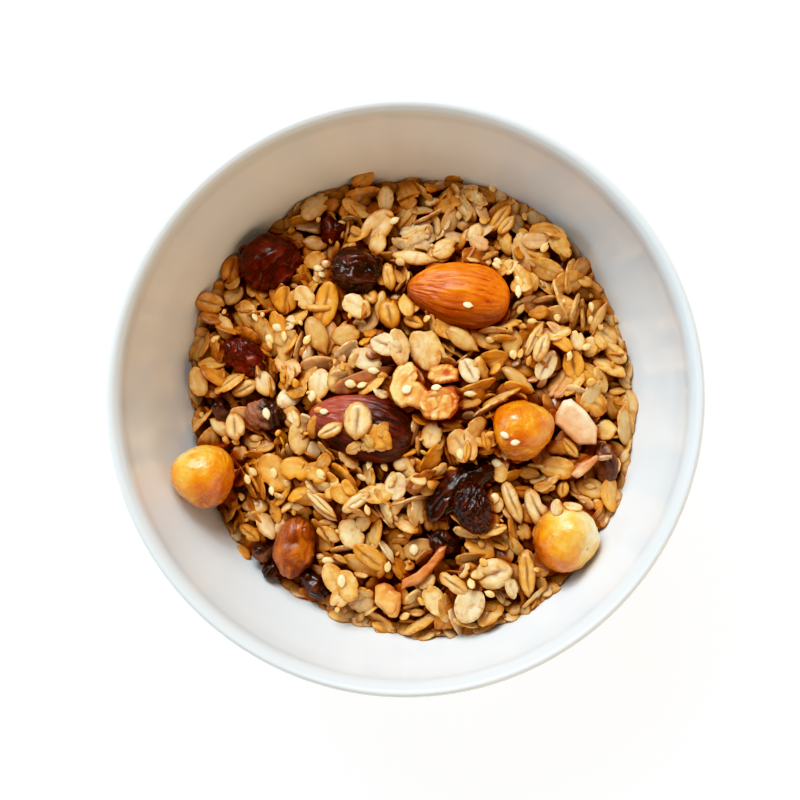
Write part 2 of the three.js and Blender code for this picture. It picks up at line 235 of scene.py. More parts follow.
class Mat:
    """A small helper for building a node material."""

    def __init__(self, name):
        self.m = bpy.data.materials.new(name)
        self.m.use_nodes = True
        self.t = self.m.node_tree
        self.t.nodes.clear()
        self.out = self.t.nodes.new("ShaderNodeOutputMaterial")
        self.bsdf = self.t.nodes.new("ShaderNodeBsdfPrincipled")
        self.t.links.new(self.bsdf.outputs[0], self.out.inputs[0])

    def set(self, **kw):
        for k, v in kw.items():
            s = self.bsdf.inputs[k.replace("_", " ")]
            if isinstance(v, bpy.types.NodeSocket):
                self.t.links.new(v, s)
            else:
                s.default_value = v
        return self

    def node(self, kind, **kw):
        n = self.t.nodes.new(kind)
        for k, v in kw.items():
            setattr(n, k, v)
        return n

    def put(self, n, key, v):
        s = n.inputs[key]
        if isinstance(v, bpy.types.NodeSocket):
            self.t.links.new(v, s)
        else:
            s.default_value = v

    def coords(self, kind="Object"):
        return self.node("ShaderNodeTexCoord").outputs[kind]

    def attr(self, name, out="Vector"):
        return self.node("ShaderNodeAttribute", attribute_name=name).outputs[out]

    def mapping(self, vec, scale=(1, 1, 1), loc=(0, 0, 0)):
        n = self.node("ShaderNodeMapping")
        self.put(n, "Vector", vec)
        n.inputs["Scale"].default_value = scale
        n.inputs["Location"].default_value = loc
        return n.outputs[0]

    def noise(self, vec, scale, detail=3.0, rough=0.55, distort=0.0, out=0):
        n = self.node("ShaderNodeTexNoise")
        self.put(n, "Vector", vec)
        n.inputs["Scale"].default_value = scale
        n.inputs["Detail"].default_value = detail
        n.inputs["Roughness"].default_value = rough
        n.inputs["Distortion"].default_value = distort
        return n.outputs[out]

    def voronoi(self, vec, scale, feature="F1", out=0, rand=1.0):
        n = self.node("ShaderNodeTexVoronoi", feature=feature)
        self.put(n, "Vector", vec)
        n.inputs["Scale"].default_value = scale
        n.inputs["Randomness"].default_value = rand
        return n.outputs[out]

    def math(self, op, a, b=0.0, c=None, clamp=False):
        n = self.node("ShaderNodeMath", operation=op, use_clamp=clamp)
        self.put(n, 0, a)
        self.put(n, 1, b)
        if c is not None:
            self.put(n, 2, c)
        return n.outputs[0]

    def ramp(self, fac, stops, interp="LINEAR"):
        n = self.node("ShaderNodeValToRGB")
        self.put(n, 0, fac)
        r = n.color_ramp
        r.interpolation = interp
        while len(r.elements) < len(stops):
            r.elements.new(0.5)
        for e, (pos, col) in zip(r.elements, stops):
            e.position = pos
            e.color = srgb(col) if isinstance(col, str) else (tuple(col) if len(col) == 4 else tuple(col) + (1.0,))
        return n.outputs[0]

    def range(self, v, a, b, c=0.0, d=1.0, smooth=False):
        n = self.node("ShaderNodeMapRange", interpolation_type="SMOOTHSTEP" if smooth else "LINEAR")
        self.put(n, "Value", v)
        n.inputs["From Min"].default_value = a
        n.inputs["From Max"].default_value = b
        n.inputs["To Min"].default_value = c
        n.inputs["To Max"].default_value = d
        return n.outputs[0]

    def mix(self, fac, a, b, blend="MIX"):
        n = self.node("ShaderNodeMix", data_type="RGBA", blend_type=blend, clamp_factor=True)
        self.put(n, 0, fac)
        for key, v in ((6, a), (7, b)):
            if isinstance(v, str):
                v = srgb(v)
            self.put(n, key, v)
        return n.outputs[2]

    def separate(self, v):
        n = self.node("ShaderNodeSeparateColor")
        self.put(n, 0, v)
        return n.outputs

    def bump(self, height, strength=0.3, distance=0.0002, normal=None):
        n = self.node("ShaderNodeBump")
        n.inputs["Strength"].default_value = strength
        n.inputs["Distance"].default_value = distance
        self.put(n, "Height", height)
        if normal is not None:
            self.put(n, "Normal", normal)
        return n.outputs[0]


def material_oats():
    m = Mat("oats")
    lc = m.attr("lc")  # mm along each flake, with an offset of its own
    tone = m.separate(m.attr("tone", "Color"))
    base, edge, crease = tone[0], tone[1], tone[2]
    o = m.coords()
    zone = m.noise(o, 75.0, 2.0, 0.5)
    broad = m.noise(lc, 0.36, 2.0, 0.5, 0.5)
    fine = m.noise(lc, 2.2, 3.0, 0.6)
    grain = m.noise(m.mapping(lc, (0.5, 2.6, 1.0)), 2.4, 2.0, 0.6)
    t = m.math("ADD", base, m.range(broad, 0.28, 0.72, -0.14, 0.2))
    t = m.math("ADD", t, m.range(zone, 0.35, 0.65, -0.05, 0.08))
    t = m.math("ADD", t, m.math("MULTIPLY", m.range(edge, 0.35, 1.0, 0.0, 1.0, True), m.range(m.noise(lc, 0.5, 2.0), 0.3, 0.65, 0.0, 0.3)))
    t = m.math("ADD", t, m.range(fine, 0.3, 0.7, -0.025, 0.03))
    t = m.math("ADD", t, m.range(grain, 0.3, 0.7, -0.03, 0.03), clamp=True)
    col = m.ramp(t, [(0.0, "#f6d6a4"), (0.2, "#ecbb78"), (0.4, "#e0a04c"), (0.6, "#ca7c20"), (0.8, "#9a4e0c"), (1.0, "#562604")])
    extra = m.separate(m.attr("extra", "Color"))
    patchy = m.range(m.noise(lc, 0.45, 2.0), 0.3, 0.6, 0.55, 1.0)
    col = m.mix(m.math("MULTIPLY", extra[0], patchy), col, "#f09a1e")  # orange
    col = m.mix(m.math("MULTIPLY", extra[1], patchy), col, "#dc9878")  # pinkish
    col = m.mix(m.math("MULTIPLY", extra[2], 0.8), col, "#a98a5c")  # grey-beige
    col = m.mix(m.math("MULTIPLY", m.attr("extra", "Alpha"), patchy), col, "#f8e6c4")  # whitish
    # toasted rim and patches
    rim = m.math("MULTIPLY", m.range(edge, 0.7, 1.0, 0.0, 1.0, True), m.range(m.noise(lc, 0.8, 2.0), 0.4, 0.64))
    col = m.mix(m.math("MULTIPLY", rim, 0.7), col, "#a85f16")
    patch = m.range(m.noise(lc, 0.45, 2.0, 0.5, 0.6), 0.56, 0.72, 0.0, 0.6)
    col = m.mix(patch, col, "#c87016")
    # the crease and bran streaks
    streak = m.math("MULTIPLY", m.range(m.noise(m.mapping(lc, (0.3, 4.2, 1.0)), 0.9, 2.0), 0.6, 0.76), 0.36)
    dark = m.math("MAXIMUM", m.math("MULTIPLY", crease, 0.9), streak)
    col = m.mix(dark, col, "#783809")
    speck = m.range(m.voronoi(lc, 1.35), 0.0, 0.15, 1.0, 0.0)
    col = m.mix(m.math("MULTIPLY", speck, m.range(m.noise(lc, 0.5, 1.0), 0.52, 0.62, 0.0, 0.6)), col, "#8a4712")
    # painted shade: the colour is made darker and browner down in the gaps, by how deep each point lies under the tops
    # around it
    deep = m.attr("tone", "Alpha")
    col = m.mix(deep, col, (0.4, 0.15, 0.015, 1.0), "MULTIPLY")
    col = m.mix(1.0, col, (0.93, 0.905, 0.87, 1.0), "MULTIPLY")
    m.set(Base_Color=col, Roughness=m.range(fine, 0.3, 0.7, 0.38, 0.55), Specular_IOR_Level=m.range(deep, 0.0, 0.7, 0.2, 0.03))
    m.set(Subsurface_Weight=0.22, Subsurface_Radius=(1.0, 0.35, 0.06), Subsurface_Scale=0.0012)
    m.set(Coat_Weight=m.range(m.noise(lc, 0.4, 2.0), 0.35, 0.6, 0.04, 0.4), Coat_Roughness=0.14)
    height = m.math("ADD", m.math("MULTIPLY", fine, 0.5), m.math("MULTIPLY", grain, 0.6))
    height = m.math("SUBTRACT", height, m.math("MULTIPLY", crease, 0.8))
    m.set(Normal=m.bump(height, 0.4, 0.0002))
    return m.m


def material_core():
    m = Mat("crumb_dark_as_shade")
    # painted shade: the crumb under the flakes is coloured very dark brown, standing in for the shade down in the gaps
    o = m.coords()
    big = m.noise(o, 180, 3.0, 0.6)
    fine = m.noise(o, 900, 3.0, 0.6)
    col = m.ramp(m.math("ADD", m.math("MULTIPLY", big, 0.6), m.math("MULTIPLY", fine, 0.4)),
                 [(0.3, "#260d02"), (0.45, "#461c04"), (0.6, "#74370a"), (0.78, "#9c5c1e")])
    m.set(Base_Color=col, Roughness=m.range(fine, 0.3, 0.7, 0.5, 0.75))
    m.set(Normal=m.bump(m.math("ADD", big, fine), 0.8, 0.0006))
    return m.m


def material_porcelain():
    m = Mat("porcelain_glaze")
    o = m.coords()
    soft = m.noise(o, 14, 2.0, 0.5)
    fine = m.noise(o, 160, 2.0, 0.5)
    col = m.ramp(soft, [(0.3, (0.755, 0.775, 0.78)), (0.7, (0.785, 0.8, 0.8))])
    height = m.separate(o)[2]
    rim_shade = m.range(height, 0.0555, 0.0618, 0.0, 1.0, True)  # painted shade: the rim top is coloured darker than the wall
    col = m.mix(rim_shade, col, (0.8, 0.828, 0.843, 1.0), "MULTIPLY")
    speck = m.range(m.voronoi(o, 90), 0.0, 0.035, 0.12, 0.0)
    col = m.mix(speck, col, "#b9b2a6")
    m.set(Base_Color=col, Roughness=m.range(fine, 0.3, 0.7, 0.13, 0.2), Specular_IOR_Level=0.5)
    m.set(Coat_Weight=0.2, Coat_Roughness=0.07)
    m.set(Subsurface_Weight=0.06, Subsurface_Radius=(1.0, 0.95, 0.85), Subsurface_Scale=0.0015)
    m.set(Normal=m.bump(m.math("ADD", soft, m.math("MULTIPLY", fine, 0.08)), 0.02, 0.0005))
    return m.m


def material_almond(name, ridge_col, mid_col, groove_col, shift, shade_and_sheen_col, side):
    m = Mat(name)
    lc = m.attr("lc")
    pat = m.separate(m.attr("tone", "Color"))
    streak = m.noise(m.mapping(lc, (0.10, 1.0, 1.0)), 1.7, 3.0, 0.6)
    mott = m.noise(lc, 0.16, 2.0, 0.5)
    f = m.math("ADD", m.math("MULTIPLY", pat[0], 0.72), m.range(streak, 0.3, 0.7, -0.1, 0.3))
    f = m.math("ADD", f, m.range(mott, 0.3, 0.7, -0.16, 0.16), clamp=True)
    col = m.ramp(f, [(0.15, groove_col), (0.45, mid_col), (0.85, ridge_col)])
    col = m.mix(m.math("MULTIPLY", pat[1], 0.75), col, groove_col)
    # painted light on one side: darker as shade on almond_1; on almond_2 paler toward the tip, its own colour, and on
    # the lit side, a painted sheen
    col = m.mix(m.math("MULTIPLY", pat[2], m.range(f, 0.1, 0.6, 0.6 * side, side)), col, shade_and_sheen_col)
    dust = m.range(m.noise(m.mapping(lc, (0.3, 1.4, 1.4)), 3.4, 2.0), 0.66, 0.76, 0.0, 0.25)
    col = m.mix(dust, col, shift)
    m.set(Base_Color=col, Roughness=m.range(streak, 0.3, 0.7, 0.28, 0.42), Specular_IOR_Level=0.14)
    m.set(Subsurface_Weight=0.05, Subsurface_Radius=(1.0, 0.4, 0.1), Subsurface_Scale=0.001)
    m.set(Coat_Weight=0.16, Coat_Roughness=0.2)
    m.set(Normal=m.bump(m.math("ADD", streak, m.math("MULTIPLY", m.noise(lc, 3.2, 2.0), 0.35)), 0.75, 0.0003))
    return m.m


def material_hazelnut():
    m = Mat("hazelnut_kernel")
    lc = m.attr("lc")
    pat = m.separate(m.attr("tone", "Color"))
    big = m.noise(lc, 0.2, 2.0, 0.5, 0.4)
    streak = m.noise(m.mapping(lc, (0.3, 0.8, 0.8)), 0.9, 3.0, 0.6)
    f = m.math("ADD", pat[0], m.range(big, 0.3, 0.7, -0.15, 0.15))
    f = m.math("ADD", f, m.range(streak, 0.3, 0.7, -0.04, 0.04), clamp=True)
    col = m.ramp(f, [(0.0, "#f3d6a0"), (0.25, "#eeb252"), (0.5, "#e68a18"), (0.75, "#d06204"), (1.0, "#8a3202")])
    col = m.mix(m.math("MULTIPLY", pat[2], 0.5), col, "#dc8c3e")
    col = m.mix(m.math("MULTIPLY", pat[1], m.range(m.noise(lc, 0.7, 2.0), 0.35, 0.6, 0.15, 0.85)), col, "#8a4414")
    speck = m.range(m.voronoi(lc, 0.5), 0.0, 0.09, 0.8, 0.0)
    col = m.mix(m.math("MULTIPLY", speck, m.range(big, 0.5, 0.6, 0.0, 0.8)), col, "#a8501a")
    m.set(Base_Color=col, Roughness=m.range(streak, 0.3, 0.7, 0.2, 0.3), Specular_IOR_Level=0.2)
    m.set(Subsurface_Weight=0.2, Subsurface_Radius=(1.0, 0.4, 0.08), Subsurface_Scale=0.0018)
    m.set(Coat_Weight=0.55, Coat_Roughness=0.06)
    bumps = m.math("ADD", m.noise(lc, 0.9, 2.0, 0.5), m.math("MULTIPLY", m.noise(lc, 3.0, 2.0), 0.25))
    m.set(Normal=m.bump(bumps, 0.45, 0.0008))
    return m.m


def material_raisin(name, dark, mid, light, rough=(0.16, 0.4), sss=0.25, dry="#8d5a48"):
    m = Mat(name)
    lc = m.attr("lc")
    pat = m.separate(m.attr("tone", "Color"))
    big = m.noise(lc, 0.16, 2.0, 0.5)
    fine = m.noise(lc, 2.2, 3.0, 0.6)
    f = m.math("ADD", m.math("MULTIPLY", pat[0], 0.75), m.range(big, 0.3, 0.7, -0.18, 0.22))
    f = m.math("ADD", f, m.range(fine, 0.3, 0.7, -0.05, 0.05), clamp=True)
    # dark in the fold valleys, light on the crests: painted shade and highlight along the folds
    col = m.ramp(f, [(0.1, dark), (0.55, mid), (1.0, light)])
    col = m.mix(m.math("MULTIPLY", pat[2], m.range(fine, 0.35, 0.6, 0.5, 1.0)), col, dry)  # dry, matt parts
    m.set(Base_Color=col, Roughness=m.math("ADD", m.range(fine, 0.3, 0.7, rough[0], rough[1]), m.math("MULTIPLY", pat[2], 0.35)))
    m.set(Specular_IOR_Level=0.14)
    m.set(Subsurface_Weight=sss, Subsurface_Radius=(1.0, 0.12, 0.03), Subsurface_Scale=0.0025)
    m.set(Coat_Weight=m.math("SUBTRACT", 0.2, m.math("MULTIPLY", pat[2], 0.18)), Coat_Roughness=0.1)
    m.set(Normal=m.bump(m.math("ADD", m.noise(lc, 1.0, 2.0, 0.5), m.math("MULTIPLY", fine, 0.3)), 0.35, 0.0003))
    return m.m


def material_nut(name, pale, mid, dark, scale=1.0):
    m = Mat(name)
    o = m.coords()
    pat = m.separate(m.attr("tone", "Color"))
    big = m.noise(o, 190 * scale, 2.0, 0.5, 0.5)
    fine = m.noise(o, 1100 * scale, 2.0, 0.5)
    f = m.math("ADD", pat[0], m.range(big, 0.3, 0.7, -0.12, 0.12))
    f = m.math("ADD", f, m.range(fine, 0.3, 0.7, -0.04, 0.04), clamp=True)
    col = m.ramp(f, [(0.05, pale), (0.5, mid), (0.95, dark)])
    m.set(Base_Color=col, Roughness=m.range(fine, 0.3, 0.7, 0.3, 0.45), Specular_IOR_Level=0.25)
    m.set(Subsurface_Weight=0.22, Subsurface_Radius=(1.0, 0.4, 0.1), Subsurface_Scale=0.0015)
    m.set(Coat_Weight=0.2, Coat_Roughness=0.14)
    m.set(Normal=m.bump(m.math("ADD", m.math("MULTIPLY", big, 1.5), m.math("MULTIPLY", fine, 0.5)), 0.3, 0.0003))
    return m.m


def material_seed(name, pale, mid, dark):
    m = Mat(name)
    lc = m.attr("lc")
    tone = m.separate(m.attr("tone", "Color"))
    n = m.noise(lc, 1.6, 2.0, 0.5)
    f = m.math("ADD", tone[0], m.range(n, 0.3, 0.7, -0.14, 0.14), clamp=True)
    col = m.ramp(f, [(0.0, pale), (0.5, mid), (1.0, dark)])
    col = m.mix(m.range(tone[1], 0.7, 1.0, 0.0, 0.35), col, dark)
    # painted shade: darker down in the gaps, by the depth held in the alpha of tone
    col = m.mix(m.attr("tone", "Alpha"), col, (0.5, 0.2, 0.025, 1.0), "MULTIPLY")
    m.set(Base_Color=col, Roughness=m.range(n, 0.3, 0.7, 0.28, 0.45), Specular_IOR_Level=0.5)
    m.set(Subsurface_Weight=0.25, Subsurface_Radius=(1.0, 0.6, 0.3), Subsurface_Scale=0.0008)
    m.set(Coat_Weight=0.15, Coat_Roughness=0.2)
    m.set(Normal=m.bump(n, 0.25, 0.0001))
    return m.m


# =====================================================================================
# meshes from arrays
# =====================================================================================
def make_object(name, verts_mm, tris, mat, lc=None, tone=None, uv=None, smooth=True, extra=None):
    verts = np.asarray(verts_mm, np.float32) * MM
    tris = np.asarray(tris, np.int32)
    me = bpy.data.meshes.new(name)
    me.vertices.add(len(verts))
    me.vertices.foreach_set("co", verts.ravel())
    k = tris.shape[1]
    me.loops.add(tris.size)
    me.loops.foreach_set("vertex_index", tris.ravel())
    me.polygons.add(len(tris))
    me.polygons.foreach_set("loop_start", np.arange(0, tris.size, k, dtype=np.int32))
    me.polygons.foreach_set("loop_total", np.full(len(tris), k, np.int32))
    me.update(calc_edges=True)
    me.validate()
    me.polygons.foreach_set("use_smooth", np.full(len(me.polygons), smooth, bool))
    if lc is not None:
        a = me.attributes.new("lc", "FLOAT_VECTOR", "POINT")
        a.data.foreach_set("vector", np.asarray(lc, np.float32).ravel())
    if tone is not None:
        a = me.attributes.new("tone", "FLOAT_COLOR", "POINT")
        a.data.foreach_set("color", np.asarray(tone, np.float32).ravel())
    if extra is not None:
        a = me.attributes.new("extra", "FLOAT_COLOR", "POINT")
        a.data.foreach_set("color", np.asarray(extra, np.float32).ravel())
    if uv is not None:
        layer = me.uv_layers.new(name="OFBake")
        layer.data.foreach_set("uv", np.asarray(uv, np.float32).ravel())
    me.materials.append(mat)
    ob = bpy.data.objects.new(name, me)
    bpy.context.scene.collection.objects.link(ob)
    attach(ob, "root")
    return ob


def grid_tris(nu, nv, closed_v=True):
    """Triangles of a grid of nu rows by nv columns, closed along the columns."""
    i, j = np.meshgrid(np.arange(nu - 1), np.arange(nv if closed_v else nv - 1), indexing="ij")
    a = i * nv + j
    b = i * nv + (j + 1) % nv
    c, d = a + nv, b + nv
    return np.concatenate([np.stack([a, c, d], -1).reshape(-1, 3), np.stack([a, d, b], -1).reshape(-1, 3)])


def ball(nu, nv):
    """A closed ball as unit directions, with its long axis along x. Poles are single points."""
    t = np.linspace(0, np.pi, nu + 2)[1:-1]
    a = np.arange(nv) / nv * 2 * np.pi
    tt, aa = np.meshgrid(t, a, indexing="ij")
    d = np.stack([-np.cos(tt), np.sin(tt) * np.cos(aa), np.sin(tt) * np.sin(aa)], -1).reshape(-1, 3)
    d = np.concatenate([d, [[-1, 0, 0], [1, 0, 0]]])
    tris = grid_tris(nu, nv)[:, ::-1]
    n = nu * nv
    j = np.arange(nv)
    cap0 = np.stack([np.full(nv, n), (j + 1) % nv, j], -1)[:, ::-1]
    last = (nu - 1) * nv
    cap1 = np.stack([np.full(nv, n + 1), last + j, last + (j + 1) % nv], -1)[:, ::-1]
    return d, np.concatenate([tris, cap0, cap1])


def outward(verts, tris):
    """Turns a closed mesh's faces out if they point in."""
    a, b, c = verts[tris[:, 0]], verts[tris[:, 1]], verts[tris[:, 2]]
    return tris if np.einsum("ij,ij->", a, np.cross(b, c)) > 0 else tris[:, ::-1]


# ------------------------------------------------------------------ flake templates
class Template:
    """A disc with a top, a rim and an underside: (rho, theta) of each vertex, and its side."""

    def __init__(self, seg, top, low):
        rho, th, side = [0.0], [0.0], [1.0]
        rings = [(r, 1.0) for r in top] + [(1.0, 0.0)] + [(r, -1.0) for r in low]
        ang = np.arange(seg) / seg * 2 * np.pi
        for r, s in rings:
            rho += [r] * seg
            th += list(ang)
            side += [s] * seg
        rho.append(0.0), th.append(0.0), side.append(-1.0)
        self.rho, self.th, self.side = np.array(rho), np.array(th), np.array(side)
        tris, uvs, cell = [], [], []

        def uv_of(k, under):
            r = self.rho[k]
            if not under:  # the rim belongs to the top's island
                r = 0.94 * r if self.side[k] > 0 else (0.965 if self.side[k] == 0 else 1.0)
            return (0.5 + 0.47 * r * math.cos(self.th[k]), 0.5 + 0.47 * r * math.sin(self.th[k]))

        def tri(a, b, c, under):
            tris.append((a, b, c))
            for k in (a, b, c):
                uvs.append(uv_of(k, under))
                cell.append(1 if under else 0)

        n_top = len(top)
        at = lambda ring, j: 1 + ring * seg + j % seg
        last = 1 + len(rings) * seg
        for j in range(seg):
            tri(0, at(0, j), at(0, j + 1), False)
            for r in range(len(rings) - 1):
                under = r > n_top
                a, b, c, d = at(r, j), at(r + 1, j), at(r + 1, j + 1), at(r, j + 1)
                tri(a, b, c, under)
                tri(a, c, d, under)
            tri(last, at(len(rings) - 1, j + 1), at(len(rings) - 1, j), True)
        self.tris, self.uv, self.cell = np.array(tris), np.array(uvs), np.array(cell)
        self.x, self.y = self.rho * np.cos(self.th), self.rho * np.sin(self.th)


T_FLAKE = Template(36, (0.3, 0.56, 0.78, 0.92, 0.985), (0.96, 0.55))
T_LOW = Template(20, (0.35, 0.65, 0.88), (0.9,))
T_KERNEL = Template(20, (0.3, 0.6, 0.87), (0.86, 0.45))
T_SEED = Template(14, (0.4, 0.7, 0.9), (0.85, 0.5))
T_CRUMB = Template(9, (0.55, 0.9), (0.75,))


class Soup:
    """Collects many small shapes into one mesh."""

    def __init__(self):
        self.v, self.t, self.lc, self.tone, self.extra, self.uv, self.cell = [], [], [], [], [], [], []
        self.count, self.verts, self.tris = 0, 0, 0

    def add(self, tpl, local, lc, tone, centre, R, extra=(0, 0, 0, 0)):
        self.v.append(local @ R.T + centre)
        self.t.append(tpl.tris + self.verts)
        self.lc.append(lc)
        self.tone.append(tone)
        self.extra.append(np.tile(np.array(extra, np.float32), (len(local), 1)))
        self.uv.append(tpl.uv)
        self.cell.append(tpl.cell + 2 * self.count)
        self.count += 1
        self.verts += len(local)
        self.tris += len(tpl.tris)

    def paint_gap_shade(self):
        """Paints shade into what lies below the surface around it: its depth goes into the alpha of tone, which the
        materials turn into darker colour.
        """
        for v, tone in zip(self.v, self.tone):
            tone[:, 3] = depth_of(v)

    def build(self, name, mat, slot="baked_oats"):
        cell, uv = np.concatenate(self.cell), np.concatenate(self.uv)
        n = math.ceil(math.sqrt(2 * self.count))
        m = math.ceil(2 * self.count / n)
        at = np.stack([cell % n, cell // n], 1)
        uv = (at + uv) / (n, m)
        ob = make_object(name, np.concatenate(self.v), np.concatenate(self.t), mat,
                         np.concatenate(self.lc), np.concatenate(self.tone), uv,
                         extra=np.concatenate(self.extra))
        return ob


def flake_shape(rng, L, W, T, tpl=T_FLAKE, broken=0.0, crease=0.7, plump=0.0, cup=1.0, point=0.12, rough=1.0):
    """One rolled oat flake lying flat, with its length along x: local points, lc and tone parts."""
    th, rho, side = tpl.th, tpl.rho, tpl.side
    o = rng.uniform(0, 200, 3)
    # outline
    c, s = np.cos(th), np.sin(th)
    ring = np.stack([c * 1.1, s * 1.1, np.zeros_like(c)], 1)
    f = 1 + rough * (0.09 * perlin(ring + o) + 0.05 * perlin(ring * 2.7 + o[::-1]) + 0.04 * perlin(ring * 6.5 + o[::-1]))
    f *= 1 - point * np.clip(c, 0, 1) ** 2 * np.abs(s) ** 0.7
    # small cracks that run in from the rim
    notch = np.zeros_like(th)
    for _ in range(rng.poisson(2.2 * rough)):
        a, w, d = rng.uniform(0, 2 * np.pi), rng.uniform(0.07, 0.17), rng.uniform(0.08, 0.4)
        near = np.exp(-((np.angle(np.exp(1j * (th - a)))) / w) ** 2)
        notch = np.maximum(notch, d * near)
    f = f * (1 - notch)
    x, y = f * c, f * s
    # a broken side
    if broken > 0:
        a = rng.uniform(0, 2 * np.pi)
        far = x * math.cos(a) + y * math.sin(a)
        limit = 1 - broken + 0.07 * perlin(np.stack([(-x * math.sin(a) + y * math.cos(a)) * 3.0, o[0] + 0 * x, o[1] + 0 * x], 1))
        k = np.where(far > limit, np.maximum(limit, 0.02) / np.maximum(far, 1e-6), 1.0)
        x, y = x * k, y * k
    x, y = x * rho * L / 2, y * rho * W / 2
    u, v = x / (L / 2), y / (W / 2)
    p = 12 - 10 * min(plump, 1.0) ** 0.5
    h = T / 2 * np.sqrt(np.clip(1 - np.minimum(rho, 1.0) ** p, 0, 1))
    h = np.where(side == 0, 0, np.maximum(h, 0.16 * T * (1 - plump)))
    # crease
    wob = 0.12 * perlin(np.stack([u * 1.7, o[2] + 0 * u, o[0] + 0 * u], 1))
    line = np.exp(-((v - wob) / 0.13) ** 2) * np.clip(1 - np.abs(u + 0.05) * 1.12, 0, 1) ** 0.4
    z = side * (h - crease * line * np.where(side > 0, 1, 0.6) * (0.16 + 0.18 * plump) * max(T, 0.8))
    # lips beside the crease, waviness and cupping
    z += side * 0.07 * T * np.exp(-((np.abs(v - wob) - 0.3) / 0.16) ** 2) * crease
    P = np.stack([x * 0.36 + o[0], y * 0.36 + o[1], np.full_like(x, o[2])], 1)
    z += 0.3 * cup * perlin(P) + 0.11 * cup * perlin(P * 2.7 + 5)
    kx, ky, kt = rng.normal(0, 0.42) * cup, rng.normal(0.1, 0.36) * cup, rng.normal(0, 0.34) * cup
    z += (kx * u * u + ky * v * v + kt * u * v) * 0.85
    local = np.stack([x, y, z], 1)
    lc = np.stack([x + o[0], y + o[1], z * 0.5 + o[2]], 1)
    return local, lc, np.minimum(rho / np.maximum(1 - 0.0 * notch, 0.5), 1.0), line * crease


def tone_of(base, edge, crease, n, alpha=1.0):
    t = np.empty((n, 4), np.float32)
    t[:, 0], t[:, 1], t[:, 2], t[:, 3] = base, edge, crease, alpha
    return t


# =====================================================================================
# toppings: the same table as the solids
# =====================================================================================
ALMONDS = [
    (459, 294, 2.4, 24.2, 15.0, 8.6, 8, 3, -4),
    (361, 427, 0.9, 25.0, 15.2, 8.6, 14, -4, 5),
]
HAZELNUTS = [
    (203, 476, 42.0, 14.8, 75, 12),
    (522, 430, 43.2, 14.0, 100, 20),
    (564, 538, 40.0, 15.4, 205, 35),
]
RAISINS = [
    (270, 262, 1.9, 15.4, 13.8, 8.6, -18, 0, 6, 1, 0),
    (356, 269, 1.5, 12.6, 11.6, 8.0, 12, 0, -6, 2, 0),
    (244, 355, 0.4, 12.0, 8.2, 6.6, 36, 0, 0, 3, 0),
    (265, 415, 0.5, 10.4, 7.6, 6.4, 8, 0, 0, 4, 0),
    (222, 411, 0.0, 7.4, 5.2, 4.8, 68, 0, 0, 5, 0),
    (295, 547, 2.1, 16.0, 10.0, 7.6, 102, 0, 0, 6, 0),
    (472.5, 508, 3.0, 12.8, 9.4, 7.0, 72, 0, 0, 7, 0),
    (459, 490.5, 0.2, 20.6, 8.8, 6.0, -39, 0, 0, 8, 0.4),
    (444, 543, -2.6, 9.4, 7.2, 5.6, 20, 0, 0, 9, 0),
    (605, 463, 0.9, 10.8, 6.4, 6.0, 80, 0, 0, 10, 0),
    (262, 552, 1.3, 5.6, 5.0, 4.8, 30, 0, 0, 11, 0),
    (271, 569.5, 2.0, 5.4, 3.8, 3.8, -50, 0, 0, 12, 0),
    (314.5, 584, 0.9, 9.2, 5.6, 5.0, 48, 0, 0, 13, 0),
    (333, 231, -1.0, 8.0, 6.4, 5.4, 60, 0, 0, 14, 0),
]
SLABS = {
    "walnut_1": (3.7, 4.4, [(408, 362), (413, 362), (417, 370), (413, 376), (413, 381), (420, 383), (429, 391),
                            (441, 387), (454, 388), (460, 398), (458, 410), (450, 419), (438, 421), (425, 418),
                            (421, 410), (413, 406), (401, 407), (392, 399), (389, 389), (393, 375), (399, 366)]),
    "walnut_2": (0.9, 3.8, [(431, 368), (441, 364.5), (452, 365), (459, 370), (459, 380), (449, 383), (434, 385),
                            (427, 379)]),
    "walnut_3": (1.8, 4.6, [(376, 586), (384, 582), (392, 586), (401, 594), (400, 606), (397, 616), (389, 617),
                            (383, 610), (375, 602)]),
    "nut_chip_1": (2.5, 3.0, [(571, 398), (563, 401), (556, 413), (554.5, 424), (566, 434), (578, 445), (596, 445),
                              (597, 428), (586, 412)]),
    "nut_chip_2": (2.6, 2.2, [(597, 454.5), (599, 458), (589, 470), (577, 479), (571, 475), (579, 464)]),
    "nut_chip_3": (2.4, 3.0, [(447, 545), (444, 557), (431, 573), (419, 584), (401, 589), (402, 580), (416, 573),
                              (430, 560), (440, 547)]),
}

